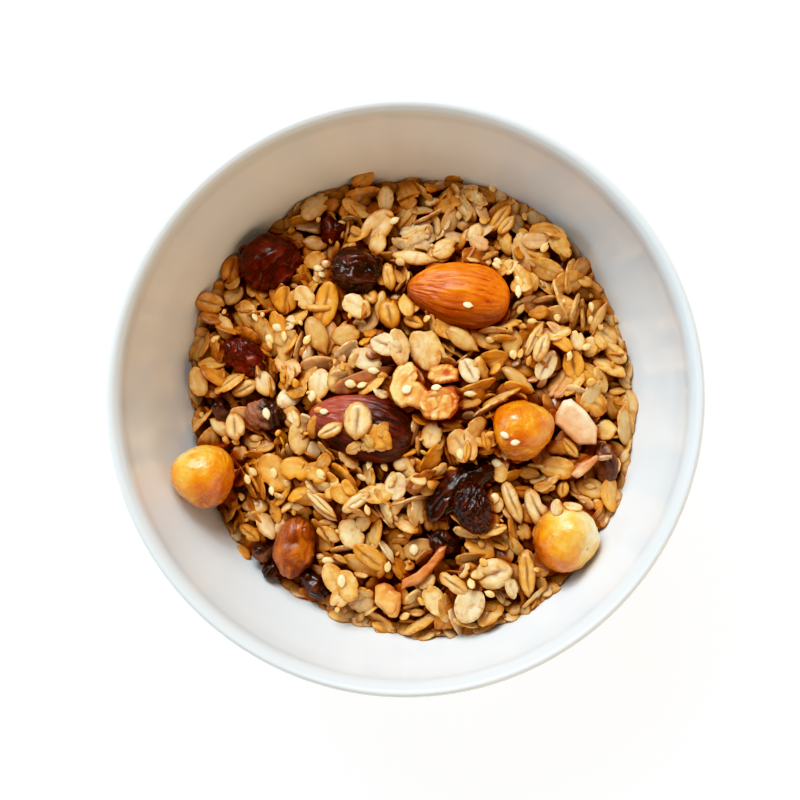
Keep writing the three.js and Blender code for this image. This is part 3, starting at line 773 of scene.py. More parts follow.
# The flakes, kernels and seeds that can be told apart in the picture, lowest first: middle in picture
# pixels, length, width and turn clockwise as seen there, tone, kind. Tones: W whitish, P pale, M pale gold,
# G gold, O orange, T toasted, D dull, B brown, S grey-beige, Q pinkish. Kinds: f flake, g grain, s sunflower
# kernel, k flake on edge, e sesame, n nut skin; c has a marked crease.
FLAKES = [
    (211.4, 316.7, 27, 15, 10, "T", "f"), (208.4, 301.8, 32, 21, 15, "G", "fc"), (233, 294.3, 25, 17, -45, "M", "f"),
    (230.5, 268.6, 32, 20, 105, "T", "fc"), (241.2, 249.5, 13, 10, 0, "P", "f"),
    (203.9, 344.1, 30, 10, 105, "D", "k"), (228, 329.1, 30, 7, 0, "T", "k"), (214.7, 338.3, 12, 7, -30, "T", "e"),
    (217.2, 375.6, 40, 18, 25, "T", "f"), (211.4, 362.3, 30, 14, -10, "D", "f"), (218, 392.1, 40, 18, 25, "T", "g"),
    (276.1, 228.8, 20, 12, 0, "T", "f"), (292.7, 234.6, 16, 12, 10, "M", "f"), (305.1, 218, 36, 10, -15, "G", "k"),
    (331.6, 203.9, 20, 14, -20, "T", "f"), (363.1, 178.2, 25, 17, -30, "G", "f"),
    (385.2, 199, 30, 17, 100, "P", "f"), (363.6, 192.3, 40, 12, -10, "M", "f"), (359, 208.1, 39, 17, 12, "M", "f"),
    (350.7, 217.2, 18, 6, 15, "W", "k"), (330.8, 213.1, 12, 8, 20, "O", "e"), (341.6, 222.2, 9, 6, 0, "M", "e"),
    (377.2, 226.3, 43, 28, -50, "P", "f"), (377.2, 242.9, 25, 18, 100, "M", "f"),
    (401.3, 242.9, 22, 13, 25, "P", "f"), (403.8, 215.5, 28, 15, -50, "M", "f"),
    (394.6, 219.7, 12, 7, -30, "P", "e"), (413.7, 231.3, 28, 13, -35, "P", "f"),
    (408.7, 192.3, 28, 8, -25, "M", "k"), (356.5, 231.3, 15, 10, 60, "D", "f"), (332.4, 235.4, 18, 8, 105, "G", "g"),
    (339.9, 234.6, 18, 7, 110, "M", "g"), (345.7, 233, 30, 7, 105, "M", "k"), (335.8, 247.9, 22, 8, 75, "G", "k"),
    (398.8, 266.1, 22, 7, 60, "D", "k"), (403.8, 279.4, 28, 10, 85, "D", "k"), (388.8, 276.9, 30, 14, 80, "G", "g"),
    (315, 259.5, 25, 18, -20, "G", "f"), (326.6, 263.6, 12, 9, 20, "P", "e"), (318.4, 267.8, 12, 8, 10, "P", "e"),
    (321.7, 274.4, 10, 7, 40, "P", "e"), (297.6, 272.8, 18, 8, 50, "T", "k"), (304.3, 276.1, 25, 13, 65, "O", "fc"),
    (293.5, 285.2, 10, 6, 10, "G", "e"), (316.7, 280.2, 12, 3, 50, "P", "k"), (262.8, 300.9, 23, 8, 60, "T", "k"),
    (248.7, 315.9, 37, 22, 60, "M", "f"), (285.2, 299.3, 28, 25, 100, "O", "fc"),
    (303.9, 296.8, 25, 21, 60, "P", "f"), (380.5, 305.9, 32, 12, 98, "D", "s"),
    (344.9, 334.9, 30, 21, -10, "D", "f"), (370.6, 332.4, 15, 12, 10, "T", "f"),
    (356.5, 305.9, 32, 23, 30, "P", "f"), (359.8, 321.7, 14, 8, 10, "W", "f"), (325, 304.3, 48, 25, 102, "O", "fc"),
    (389.7, 314.2, 33, 22, 78, "G", "gc"), (396.3, 296.8, 12, 7, -10, "P", "e"),
    (289.3, 322.5, 17, 13, -50, "W", "f"), (317.5, 335.8, 43, 22, 65, "S", "s"),
    (299.3, 317.5, 22, 10, -30, "M", "k"), (277.7, 325.8, 33, 20, 70, "O", "f"),
    (266.1, 335.8, 48, 20, 78, "M", "f"), (282.7, 350.7, 25, 15, 80, "D", "f"), (269.4, 339.1, 12, 9, 50, "P", "e"),
    (276.9, 327.5, 12, 9, 20, "P", "e"), (283.5, 336.6, 12, 7, 85, "M", "e"), (254.5, 315.9, 12, 7, 75, "P", "e"),
    (259.5, 350.7, 28, 6, 48, "M", "k"), (262, 357.3, 17, 6, 55, "O", "k"), (291, 344.1, 25, 7, -75, "O", "k"),
    (298.5, 347.4, 35, 7, -68, "P", "k"), (301.8, 350.7, 12, 7, -60, "O", "e"), (365.6, 340.7, 15, 7, -30, "O", "k"),
    (345.7, 350.7, 30, 15, -50, "W", "f"), (366.4, 359, 33, 22, 20, "W", "f"), (317.5, 364, 36, 18, -12, "Q", "f"),
    (339.1, 373.9, 18, 10, -15, "W", "f"), (354, 359.8, 18, 12, -55, "P", "f"),
    (385.5, 344.1, 32, 23, 20, "W", "fc"), (362.3, 380.5, 66, 18, -18, "B", "n"),
    (350.7, 383.9, 13, 9, 15, "P", "e"), (383, 375.6, 12, 8, 5, "O", "e"), (373.9, 370.6, 13, 7, 5, "P", "e"),
    (319.2, 383.9, 32, 22, 100, "P", "f"), (311.7, 396.3, 13, 9, 95, "P", "e"), (285.2, 377.2, 25, 8, 95, "G", "k"),
    (281.9, 373.9, 20, 7, 75, "O", "k"), (291, 375.6, 20, 7, 95, "M", "k"), (244.6, 388, 30, 16, -25, "M", "gc"),
    (242.9, 375.6, 13, 7, 20, "G", "f"), (263.6, 383, 30, 20, 60, "P", "f"), (271.1, 387.2, 22, 7, 75, "G", "k"),
    (290.2, 395.5, 33, 21, -40, "W", "f"), (236.3, 402.1, 15, 6, -45, "M", "k"), (213.1, 394.6, 10, 7, 0, "O", "e"),
    (462.1, 179.9, 36, 12, 0, "G", "f"), (471.2, 186.5, 15, 3, 5, "W", "k"), (456.3, 190.7, 18, 7, 60, "P", "k"),
    (487.8, 195.7, 19, 13, 40, "D", "f"), (492.8, 187.4, 12, 8, 70, "M", "e"), (503.5, 199, 13, 10, 20, "D", "f"),
    (511, 200.6, 13, 10, 10, "G", "f"), (476.2, 198.1, 27, 14, 32, "P", "f"), (448, 203.9, 31, 19, -12, "O", "f"),
    (433.1, 201.5, 15, 9, -20, "P", "f"), (483.6, 213.9, 22, 13, 55, "Q", "f"), (467.1, 208.1, 32, 12, 65, "P", "f"),
    (449.6, 221.4, 32, 17, -65, "P", "f"), (459.6, 214.7, 12, 8, 100, "M", "e"),
    (467.1, 213.9, 15, 11, 100, "M", "f"), (434.7, 224.7, 28, 10, 75, "M", "k"), (429.7, 233, 18, 6, 75, "P", "k"),
    (415.7, 226.3, 36, 15, -38, "W", "f"), (421.5, 211.4, 25, 10, -20, "P", "f"), (389.9, 213.1, 7, 6, 30, "O", "e"),
    (501, 217.2, 35, 14, -52, "O", "gc"), (506.8, 224.7, 25, 12, -50, "G", "g"), (506, 242.9, 28, 15, 70, "G", "f"),
    (462.1, 239.6, 25, 10, -55, "T", "k"), (475.2, 232.1, 19, 15, -60, "P", "f"),
    (479.5, 242.9, 22, 16, 30, "Q", "f"), (421.5, 247.1, 17, 7, 35, "P", "k"), (443.8, 248.7, 27, 20, -30, "M", "f"),
    (416.5, 257.8, 49, 15, 8, "M", "s"), (401.6, 283.5, 20, 7, 95, "D", "k"), (408.2, 279.4, 17, 6, 100, "P", "k"),
    (385, 256.2, 17, 10, -10, "D", "f"), (488.6, 255.3, 23, 8, -20, "D", "k"), (472.9, 259.5, 16, 6, 5, "P", "k"),
    (488.6, 261.5, 11, 7, 90, "M", "e"), (496.9, 266.1, 12, 7, 45, "M", "e"), (498.6, 261.5, 12, 6, 35, "P", "e"),
    (562.4, 252.9, 18, 10, 60, "D", "f"), (524.3, 233, 13, 10, 30, "O", "f"), (519.3, 252.9, 15, 12, 60, "T", "f"),
    (552.4, 231.3, 33, 15, 30, "M", "f"), (560.7, 244.6, 31, 18, 55, "M", "f"), (545.8, 233, 33, 17, 10, "M", "f"),
    (537.5, 252.9, 27, 13, 20, "M", "f"), (535, 240.4, 27, 17, 0, "Q", "f"), (545, 268.6, 42, 22, 15, "M", "f"),
    (570.7, 276.1, 37, 13, -75, "M", "f"), (584.8, 281, 17, 12, 20, "D", "f"), (512.7, 266.1, 17, 14, 20, "P", "f"),
    (522.6, 279.4, 31, 17, 60, "M", "f"), (519.3, 281.9, 15, 7, 60, "G", "e"), (518.5, 291.8, 14, 7, 90, "P", "e"),
    (534.2, 281, 20, 10, 60, "G", "f"), (524.3, 301.8, 27, 10, -30, "W", "f"), (544.2, 300.9, 28, 8, -18, "P", "f"),
    (559.9, 299.3, 43, 8, 76, "M", "k"), (574, 307.6, 30, 6, -60, "P", "k"), (576.5, 317.5, 30, 6, -60, "T", "k"),
    (583.1, 315.9, 36, 8, -78, "M", "k"), (591.4, 307.6, 12, 6, 80, "M", "e"), (590.6, 320.8, 11, 7, 85, "M", "e"),
    (598.9, 317.5, 39, 10, -62, "S", "s"), (593.9, 294.3, 15, 10, 40, "D", "f"), (557.4, 317.5, 11, 8, 80, "G", "e"),
    (543.3, 284.4, 12, 4, 60, "P", "k"), (539.2, 312.6, 22, 15, -10, "T", "f"), (532.6, 321.7, 12, 7, 0, "Q", "e"),
    (506, 324.2, 33, 10, 10, "M", "f"), (496.1, 331.6, 38, 6, 12, "P", "k"), (521.8, 325.8, 12, 7, 20, "O", "e"),
    (504.4, 339.1, 25, 8, 5, "O", "f"), (490.3, 339.9, 11, 8, 10, "G", "e"), (453, 350.7, 28, 7, 30, "D", "k"),
    (462.9, 339.9, 41, 18, 35, "S", "s"), (448.8, 361.5, 18, 12, 30, "D", "f"), (431.4, 320.8, 22, 8, 70, "D", "k"),
    (414, 321.7, 22, 13, 20, "O", "gc"), (425.6, 348.2, 48, 32, 75, "P", "f"), (493.6, 358.2, 32, 16, -15, "O", "f"),
    (513.5, 354.8, 11, 9, 80, "M", "e"), (469.5, 370.6, 27, 20, 60, "W", "fc"), (516, 362.3, 12, 4, -50, "W", "k"),
    (505.2, 372.2, 18, 13, -10, "Q", "f"), (494.4, 368.9, 17, 8, -40, "O", "f"),
    (519.3, 380.5, 41, 16, 38, "S", "s"), (554.1, 329.1, 20, 10, 45, "Q", "f"),
    (534.2, 339.1, 40, 12, -62, "P", "g"), (541.7, 347.4, 32, 15, -68, "P", "gc"),
    (529.1, 360.6, 12, 6, -75, "B", "e"), (545.8, 364.8, 33, 20, -60, "W", "fc"),
    (562.4, 344.1, 23, 15, 30, "O", "f"), (577.3, 340.7, 21, 15, 70, "P", "f"),
    (589.8, 347.4, 22, 17, 100, "M", "f"), (600.5, 342.4, 18, 13, 60, "M", "f"), (615.5, 354, 27, 17, 42, "M", "fc"),
    (607.2, 365.6, 43, 18, 38, "M", "f"), (573.2, 364.8, 30, 22, 80, "O", "fc"),
    (592.2, 372.2, 25, 13, 30, "G", "f"), (570.7, 385.5, 36, 18, -35, "M", "f"),
    (587.3, 380.5, 25, 15, 50, "O", "f"), (600.5, 380.5, 30, 15, 60, "M", "f"),
    (590.6, 395.5, 33, 18, -60, "P", "f"), (575.7, 390.5, 20, 10, 10, "P", "f"),
    (477.8, 386.3, 41, 12, -8, "G", "f"), (470.4, 393.8, 14, 7, 0, "M", "e"), (488.6, 396.3, 15, 7, -20, "G", "f"),
    (469.5, 403.8, 25, 12, 0, "D", "f"), (518.5, 387.2, 30, 12, 30, "O", "f"), (502.7, 397.1, 46, 7, -28, "M", "k"),
    (491.1, 407.1, 40, 6, -30, "P", "k"), (492.8, 414.5, 17, 7, -20, "G", "f"), (550, 407.1, 30, 12, 58, "D", "f"),
    (521.8, 397.1, 17, 8, 40, "M", "f"), (610.5, 408.7, 25, 12, 75, "D", "f"), (223.8, 494.4, 27, 17, 30, "D", "f"),
    (233, 506, 17, 10, 30, "T", "f"), (226.3, 516, 18, 7, 80, "D", "k"), (234.6, 522.6, 28, 7, 95, "T", "k"),
    (241.2, 517.6, 18, 6, 95, "T", "k"), (254.5, 506, 28, 17, 10, "D", "f"), (252.9, 515.1, 16, 11, -10, "M", "f"),
    (237.9, 539.2, 18, 7, 70, "G", "k"), (243.7, 552.4, 18, 13, 50, "O", "f"), (250.4, 533.4, 27, 15, 40, "T", "gc"),
    (276.1, 511, 25, 10, 80, "O", "f"), (266.1, 525.9, 33, 18, 60, "P", "f"), (281, 527.6, 18, 12, 105, "W", "f"),
    (239.3, 452.6, 17, 15, 70, "D", "f"), (265.3, 448, 20, 13, -10, "D", "f"), (256.2, 438, 15, 8, 0, "D", "e"),
    (266.1, 434.7, 20, 5, 50, "D", "k"), (282.7, 441.4, 27, 7, 65, "O", "k"), (299.3, 436.4, 39, 23, 95, "P", "f"),
    (305.9, 417.3, 13, 8, 20, "W", "f"), (313.4, 449.6, 18, 15, 70, "W", "f"), (274.4, 472.9, 43, 30, 55, "G", "f"),
    (273.3, 473.7, 12, 9, 80, "Q", "e"), (287.7, 484.1, 12, 7, 40, "Q", "e"), (254.5, 454.6, 22, 10, 20, "T", "f"),
    (257.8, 479.5, 44, 12, 66, "T", "f"), (252, 477.8, 33, 7, 66, "G", "k"), (243.7, 477.8, 41, 9, 62, "T", "k"),
    (248.7, 486.1, 30, 8, 62, "G", "k"), (279.4, 496.9, 13, 4, 20, "P", "k"), (271.4, 491.1, 10, 5, 80, "P", "e"),
    (299.3, 492.8, 28, 12, -40, "O", "f"), (295.1, 468.7, 31, 24, 10, "O", "f"), (313.4, 490.3, 25, 7, 35, "P", "k"),
    (323.3, 461.2, 18, 14, -60, "M", "f"), (315.9, 475.3, 22, 17, 20, "G", "f"), (320.8, 474.8, 13, 9, 50, "M", "e"),
    (310.1, 457.9, 20, 7, 35, "T", "k"), (334.1, 444.7, 15, 7, 40, "W", "k"), (344.1, 461.2, 45, 12, 44, "M", "f"),
    (343.7, 476.2, 36, 13, 52, "O", "f"), (322.5, 486.1, 20, 12, 20, "P", "f"),
    (332.4, 487.8, 24, 13, -72, "M", "f"), (344.1, 494.4, 30, 20, 20, "G", "f"), (349, 487.8, 20, 13, 60, "O", "f"),
    (304.3, 511, 17, 12, 0, "G", "f"), (324.2, 511, 33, 10, 38, "Q", "g"), (320.8, 503.5, 43, 10, 42, "P", "gc"),
    (356.5, 501.9, 34, 14, -35, "P", "g"), (360.6, 515.1, 28, 10, -5, "M", "f"), (359.8, 512.7, 12, 8, 10, "G", "e"),
    (297.6, 506.8, 14, 9, 0, "P", "e"), (287.7, 506, 18, 8, -40, "P", "f"), (372.2, 511, 20, 7, 50, "Q", "k"),
    (325.8, 524.3, 18, 10, 10, "P", "f"), (333.3, 525.9, 10, 7, 30, "O", "e"), (375.6, 532.6, 30, 15, 95, "G", "f"),
    (363.1, 522.6, 20, 15, -60, "P", "f"), (328.3, 534.2, 26, 16, 30, "M", "f"), (349, 549.1, 39, 7, 8, "P", "k"),
    (351.5, 534.2, 34, 25, 62, "P", "f"), (362.3, 565.7, 41, 20, 25, "G", "f"),
    (370.6, 557.4, 41, 22, 40, "O", "fc"), (385.5, 550.8, 29, 5, 80, "W", "k"), (340.7, 559.1, 18, 7, 30, "D", "g"),
    (320.8, 556.6, 12, 7, 10, "G", "e"), (328.3, 560.7, 13, 8, 10, "M", "e"), (307.6, 593.9, 22, 14, 40, "O", "f"),
    (334.1, 579, 35, 22, 60, "M", "f"), (340.7, 597.2, 25, 18, -40, "P", "f"), (347.4, 585.6, 33, 22, 75, "M", "f"),
    (341.6, 581.5, 15, 9, 90, "P", "e"), (365.6, 592.2, 18, 10, 10, "M", "f"), (380.5, 618.8, 32, 10, 25, "M", "f"),
    (410.4, 622.1, 25, 8, 0, "M", "f"), (408.7, 607.2, 20, 8, -5, "P", "f"), (413.7, 595.6, 22, 8, -20, "P", "k"),
    (368.9, 474.5, 28, 13, 60, "M", "f"), (368.9, 464.6, 12, 6, 105, "P", "e"), (378.9, 471.2, 20, 10, 70, "D", "f"),
    (362.3, 477.8, 13, 6, 30, "P", "e"), (413.7, 482.8, 18, 13, 20, "P", "f"), (396.3, 486.1, 29, 22, -75, "W", "f"),
    (383, 497.7, 25, 7, 30, "M", "k"), (397.1, 506, 23, 12, -50, "P", "f"), (383.9, 514.3, 33, 10, 55, "P", "k"),
    (392.1, 516, 17, 8, 35, "P", "f"), (404.6, 462.9, 23, 16, -15, "P", "f"), (389.7, 459.6, 15, 6, -10, "O", "k"),
    (390.5, 479.5, 18, 10, -80, "P", "f"), (405.4, 523.4, 31, 17, 38, "M", "f"),
    (415.4, 509.3, 32, 18, 100, "P", "f"), (400.4, 541.7, 18, 9, -10, "D", "f"),
    (392.1, 564.1, 15, 10, 60, "T", "f"), (357.3, 511, 22, 6, 20, "D", "k"), (325.8, 451.3, 25, 8, 60, "M", "k"),
    (414, 431.4, 33, 10, -75, "P", "k"), (419.8, 443, 27, 8, -80, "M", "k"), (431.4, 434.7, 29, 21, -75, "P", "f"),
    (430.6, 459.6, 37, 17, -60, "O", "f"), (408.2, 453, 18, 7, -15, "O", "k"), (453.8, 451.3, 33, 15, 75, "P", "f"),
    (460.4, 454.6, 12, 8, 80, "P", "e"), (467.1, 451.3, 23, 8, 95, "G", "g"), (474.5, 429.7, 30, 18, -50, "D", "f"),
    (451.3, 423.9, 21, 10, 10, "O", "f"), (486.1, 442.2, 22, 10, 75, "T", "g"), (491.9, 438.9, 12, 7, 75, "G", "e"),
    (469.5, 415.7, 15, 9, 20, "P", "f"), (502.7, 448.8, 20, 15, -40, "G", "f"), (515.1, 454.6, 21, 16, 42, "G", "f"),
    (499.4, 472, 22, 17, 75, "M", "f"), (505.7, 453, 16, 10, 95, "P", "e"), (496.9, 463.2, 12, 9, 10, "W", "e"),
    (481.1, 457.9, 16, 5, -5, "P", "k"), (438, 472.9, 25, 12, -35, "P", "f"), (453, 472, 12, 10, 20, "G", "f"),
    (429.7, 487.8, 22, 16, -20, "M", "f"), (418.1, 479.5, 18, 13, 30, "P", "f"),
    (418.1, 509.3, 37, 18, 100, "P", "f"), (385, 511, 30, 10, 55, "P", "f"), (438, 524.3, 25, 13, 5, "G", "f"),
    (448, 521.8, 11, 6, 5, "O", "e"), (466.2, 532.6, 27, 10, 15, "P", "f"), (492.8, 529.2, 29, 12, -10, "G", "fc"),
    (479.5, 549.1, 33, 17, 30, "T", "f"), (496.1, 542.5, 27, 14, 38, "G", "fc"),
    (524.3, 531.7, 18, 17, 90, "D", "f"), (516, 547.5, 23, 12, 60, "D", "f"), (496.1, 504.4, 18, 15, 80, "P", "f"),
    (494.4, 498.6, 12, 10, 90, "P", "e"), (507.7, 512.7, 15, 10, 60, "Q", "f"),
    (512.7, 502.7, 47, 17, 68, "P", "gc"), (537.5, 511, 49, 20, 65, "P", "gc"), (539.2, 467.9, 31, 8, 25, "P", "k"),
    (557.4, 467.9, 37, 23, 10, "G", "f"), (539.2, 480.3, 19, 7, -10, "P", "f"), (529.2, 472.9, 22, 14, 10, "D", "f"),
    (542.5, 446.3, 22, 13, -20, "M", "f"), (557.4, 448, 25, 16, 12, "T", "f"), (569.9, 448, 27, 12, 50, "G", "gc"),
    (593.9, 448, 28, 15, -30, "O", "f"), (603.9, 457.9, 16, 6, 0, "W", "k"), (544.2, 487.8, 22, 13, -8, "M", "f"),
    (562.4, 489.4, 18, 13, 100, "G", "gc"), (547.5, 498.6, 13, 7, 10, "Q", "e"),
    (575.7, 486.1, 22, 12, 60, "D", "f"), (590.6, 487.8, 32, 20, 20, "M", "f"), (589.8, 486.1, 14, 7, 0, "O", "e"),
    (585.6, 502.7, 18, 12, 40, "Q", "f"), (597.2, 505.2, 15, 12, 60, "B", "e"), (555.8, 509.3, 18, 13, 95, "P", "f"),
    (572.3, 507.7, 20, 8, 25, "P", "f"), (501, 575.7, 17, 12, -30, "G", "f"), (494.4, 573.2, 39, 31, -15, "P", "gc"),
    (511, 587.3, 25, 13, 60, "P", "f"), (526.7, 574, 47, 18, 85, "G", "gc"), (540.8, 582.3, 18, 13, 60, "D", "f"),
    (534.2, 597.2, 32, 8, -15, "P", "f"), (434.7, 600.5, 33, 22, 60, "P", "f"), (444.7, 607.2, 30, 15, 80, "M", "f"),
    (417.3, 612.1, 16, 8, 0, "G", "g"), (411.5, 605.5, 20, 7, -15, "M", "k"), (421.5, 622.1, 46, 10, 5, "M", "f"),
    (388.3, 623.8, 18, 10, 20, "M", "f"), (454.6, 584, 36, 17, 35, "P", "gc"), (462.9, 620.4, 32, 8, 10, "P", "f"),
    (469.5, 603.9, 39, 30, -70, "W", "f"), (499.4, 595.6, 17, 10, 60, "P", "f"), (506, 602.2, 11, 7, 0, "M", "e"),
    (494.4, 592.2, 10, 7, 20, "D", "e"), (491.1, 607.5, 12, 5, 0, "G", "k"), (396.6, 550.8, 25, 15, 40, "D", "f"),
    (399.9, 569, 27, 15, 60, "T", "f"), (418.1, 549.1, 33, 22, -15, "S", "f"), (414, 550, 13, 10, 90, "P", "e"),
    (462.9, 555.8, 20, 8, 75, "D", "f"), (453, 564.1, 22, 10, 20, "D", "f"), (464.6, 570.7, 17, 10, -40, "P", "f"),
    (426.4, 580.6, 20, 15, -40, "P", "f"), (477.8, 574, 10, 15, 80, "M", "f"), (542.5, 545.8, 10, 7, 20, "O", "e"),
]
# The same for those that lie on a topping.
ON_TOPPINGS = [
    (355, 448, 20, 13, -20, "P", "f"), (372, 447, 28, 15, 8, "P", "f"), (376, 437, 34, 24, 20, "G", "f"),
    (383, 430, 17, 13, 100, "G", "f"), (387, 444, 13, 10, 40, "O", "f"), (368, 441, 16, 11, 60, "M", "f"),
    (331, 430, 29, 14, -25, "P", "gc"), (357.5, 421, 38, 29, 95, "P", "gc"), (234.6, 427.3, 30, 21, 85, "P", "gc"),
    (380.5, 393.3, 18, 9, 15, "W", "f"), (266.1, 414, 13, 8, 75, "W", "e"), (319, 410, 11, 7, 0, "O", "e"),
    (324, 411.6, 8, 5, 0, "W", "e"), (407, 389, 12, 9, -30, "W", "e"), (436.5, 387.4, 11, 6, -10, "W", "e"),
    (468.5, 305, 11, 6, 12, "W", "e"), (505, 435.4, 11, 6, 30, "W", "e"), (515.4, 442.6, 10, 5, -10, "W", "e"),
    (555.8, 508, 18, 12, 95, "P", "f"), (572.4, 507, 20, 9, 25, "P", "f"), (604, 458, 16, 5, 0, "W", "k"),
]

toppings = []  # (name, verts mm, tris) of each replaced topping, also used for the height map


def almond(i, mat):
    px, py, lift, L, W, T, yaw, pitch, roll = ALMONDS[i]
    at, R = resting(px, py, lift), rot(yaw, pitch, roll)
    d, tris = ball(84, 140)
    u, v, w = d.T
    k = np.hypot(v, w)
    ang = np.arctan2(w, v)
    body = k**0.86 * (1 + 0.2 * u - 0.08 * u * u)
    c, s = np.cos(ang), np.sin(ang)
    # wrinkles run along the skin from the tip
    seed = 40.0 + 13 * i
    P = np.stack([c * 3.4 + 0.5 * u, s * 3.4, u * 0.75 + seed], 1)
    warp = perlin(np.stack([c * 1.5, s * 1.5, u * 1.2 + seed], 1))[:, None] * 0.35
    r1 = ridge(P + warp, 2, 0.6)
    r2 = ridge(np.stack([c * 8.5, s * 8.5, u * 1.5 + seed], 1) + warp, 1)
    lump = perlin(np.stack([u * 1.4, c * 0.9 + seed, s * 0.9], 1))
    amp = np.clip(k * 1.3, 0, 1)
    r3 = ridge(np.stack([c * 15.0, s * 15.0, u * 2.6 + seed], 1) + warp * 1.6, 1)
    off = amp * (0.36 * (r1 - 0.5) + 0.26 * (r2 - 0.5) + 0.12 * (r3 - 0.5) + 0.25 * lump) * (1.35 if i else 1.0)
    x = L / 2 * u
    # a small pinched tip
    x = x - 0.5 * np.clip(-u - 0.93, 0, 1) * 6
    y, z = (W / 2 * body + off) * c, (T / 2 * body + off * 0.9) * s
    local = np.stack([x, y, z], 1)
    if i == 0:  # painted shade: darker where it turns down, away from the light
        down = (np.stack([0 * u, body * c, body * s], 1) @ R.T)[:, 1]
        part = np.clip(smoothstep(-0.2, 0.8, -down) + 0.5 * smoothstep(-0.3, -0.9, u) * smoothstep(0.4, -0.6, down), 0, 1)
    else:  # paler toward its tip, its own colour, but only on the side that faces the light, a painted sheen
        part = smoothstep(0.3, -0.5, u) * smoothstep(-0.75, 0.3, (np.stack([0 * u, body * c, body * s], 1) @ R.T)[:, 1])
    tone = tone_of(np.clip(0.12 + 0.45 * r1 + 0.35 * r2 + 0.2 * r3, 0, 1), np.clip((-u - 0.8) * 5, 0, 1) ** 1.5, part, len(u))
    lc = np.stack([x, c * 4.6 * np.clip(k, 0.2, 1), s * 4.6 * np.clip(k, 0.2, 1) + 20 * i], 1)
    verts = local @ R.T + at
    tris = outward(local, tris)
    toppings.append((f"almond_{i + 1}", verts, tris))
    ob = make_object(f"almond_{i + 1}_skin", verts, tris, mat, lc, tone, None)
    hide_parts(f"almond_{i + 1}")


# Each hazelnut: mean tone, how far it changes across, and toward which side (clockwise in the picture) it is paler, the
# side the light comes from, so that paling is painted light.
HAZEL_TONES = [(0.48, 0.22, -150), (0.58, -0.04, -150), (0.38, 0.42, -40)]


def hazelnut(i, mat):
    px, py, z0, D, yaw, dip = HAZELNUTS[i]
    mean, change, lit_pale_side_to = HAZEL_TONES[i]
    x0, y0 = place(px, py, z0)
    at, R = np.array([x0, y0, z0]), rot(yaw, dip, 0)
    d, tris = ball(72, 100)
    u, v, w = d.T
    ang = np.arctan2(w, v)
    seed = 70.0 + 9 * i
    f = 1 + 0.062 * (4 * u**3 - 3 * u) + 0.025 * np.sin(3 * ang + 0.5) * (1 - u * u)
    f += 0.016 * np.cos(5 * ang + i) * (1 - u * u) * (0.6 + 0.4 * u)
    low = perlin(d * 1.5 + seed)
    seams = ridge(np.stack([np.cos(ang) * 2.0, np.sin(ang) * 2.0, u * 0.5 + seed], 1), 1)
    near_tip = smoothstep(0.3, 0.85, u + 0.12 * perlin(d * 2.5 + seed + 5))
    wrinkle = ridge(np.stack([u * 6.5, np.cos(ang) * 2.2 + seed, np.sin(ang) * 2.2], 1), 2)
    dents = fbm(d * 4.2 + seed, 2)
    off = 0.09 * fbm(d * 8.5 + seed, 2) + 0.42 * low + 0.12 * (seams - 0.5) * np.sqrt(np.clip(1 - u * u, 0, 1)) + 0.16 * dents + 0.05 * perlin(d * 11 + seed)
    off += 0.34 * near_tip * (wrinkle - 0.6) - 0.5 * smoothstep(0.9, 1.0, u)
    local = (D / 2 * f + off)[:, None] * d
    turned = d @ R.T
    k = math.radians(-lit_pale_side_to)
    side = turned[:, 0] * math.cos(k) + turned[:, 1] * math.sin(k)
    # painted light: paler on the side toward the light; low, dents and the tip add the nut's own mottling
    t = mean - change * side + 0.2 * low + 0.1 * dents + 0.1 * near_tip
    skin = near_tip * np.clip(1.6 - 1.4 * wrinkle, 0.25, 1)
    tone = tone_of(np.clip(t, 0, 1), np.clip(skin, 0, 1), near_tip, len(u))
    lc = local * 1.0 + seed
    verts = local @ R.T + at
    tris = outward(local, tris)
    toppings.append((f"hazelnut_{i + 1}", verts, tris))
    ob = make_object(f"hazelnut_{i + 1}_kernel", verts, tris, mat, lc, tone, None)
    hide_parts(f"hazelnut_{i + 1}")


# Wrinkles of each raisin: their direction clockwise in the picture, distance apart (mm), depth of the folds and
# of the fine wrinkles (mm), how much they wander; then how dry one side is and the direction of that side.
WRINKLES = [
    (-50, 1.3, 0.26, 0.2, 0.8, 0, 0), (6, 1.25, 0.7, 0.3, 0.8, 0, 0), (40, 1.5, 0.6, 0.25, 0.9, 0, 0),
    (60, 1.6, 0.6, 0.25, 0.9, 0.8, 175), (68, 1.5, 0.5, 0.2, 0.8, 0.35, 90), (98, 1.6, 0.26, 0.18, 0.8, 0.3, 190),
    (75, 1.15, 0.42, 0.34, 1.5, 0, 0), (-42, 2.1, 0.5, 0.16, 0.7, 0, 0), (20, 1.5, 0.7, 0.3, 0.9, 0, 0),
    (80, 1.5, 0.4, 0.2, 0.8, 0.2, 90), (30, 1.5, 0.4, 0.2, 0.8, 0.5, 60), (-50, 1.4, 0.5, 0.2, 0.8, 0, 0),
    (48, 1.6, 0.4, 0.15, 0.7, 0, 0), (60, 1.6, 0.6, 0.3, 0.9, 0, 0),
]


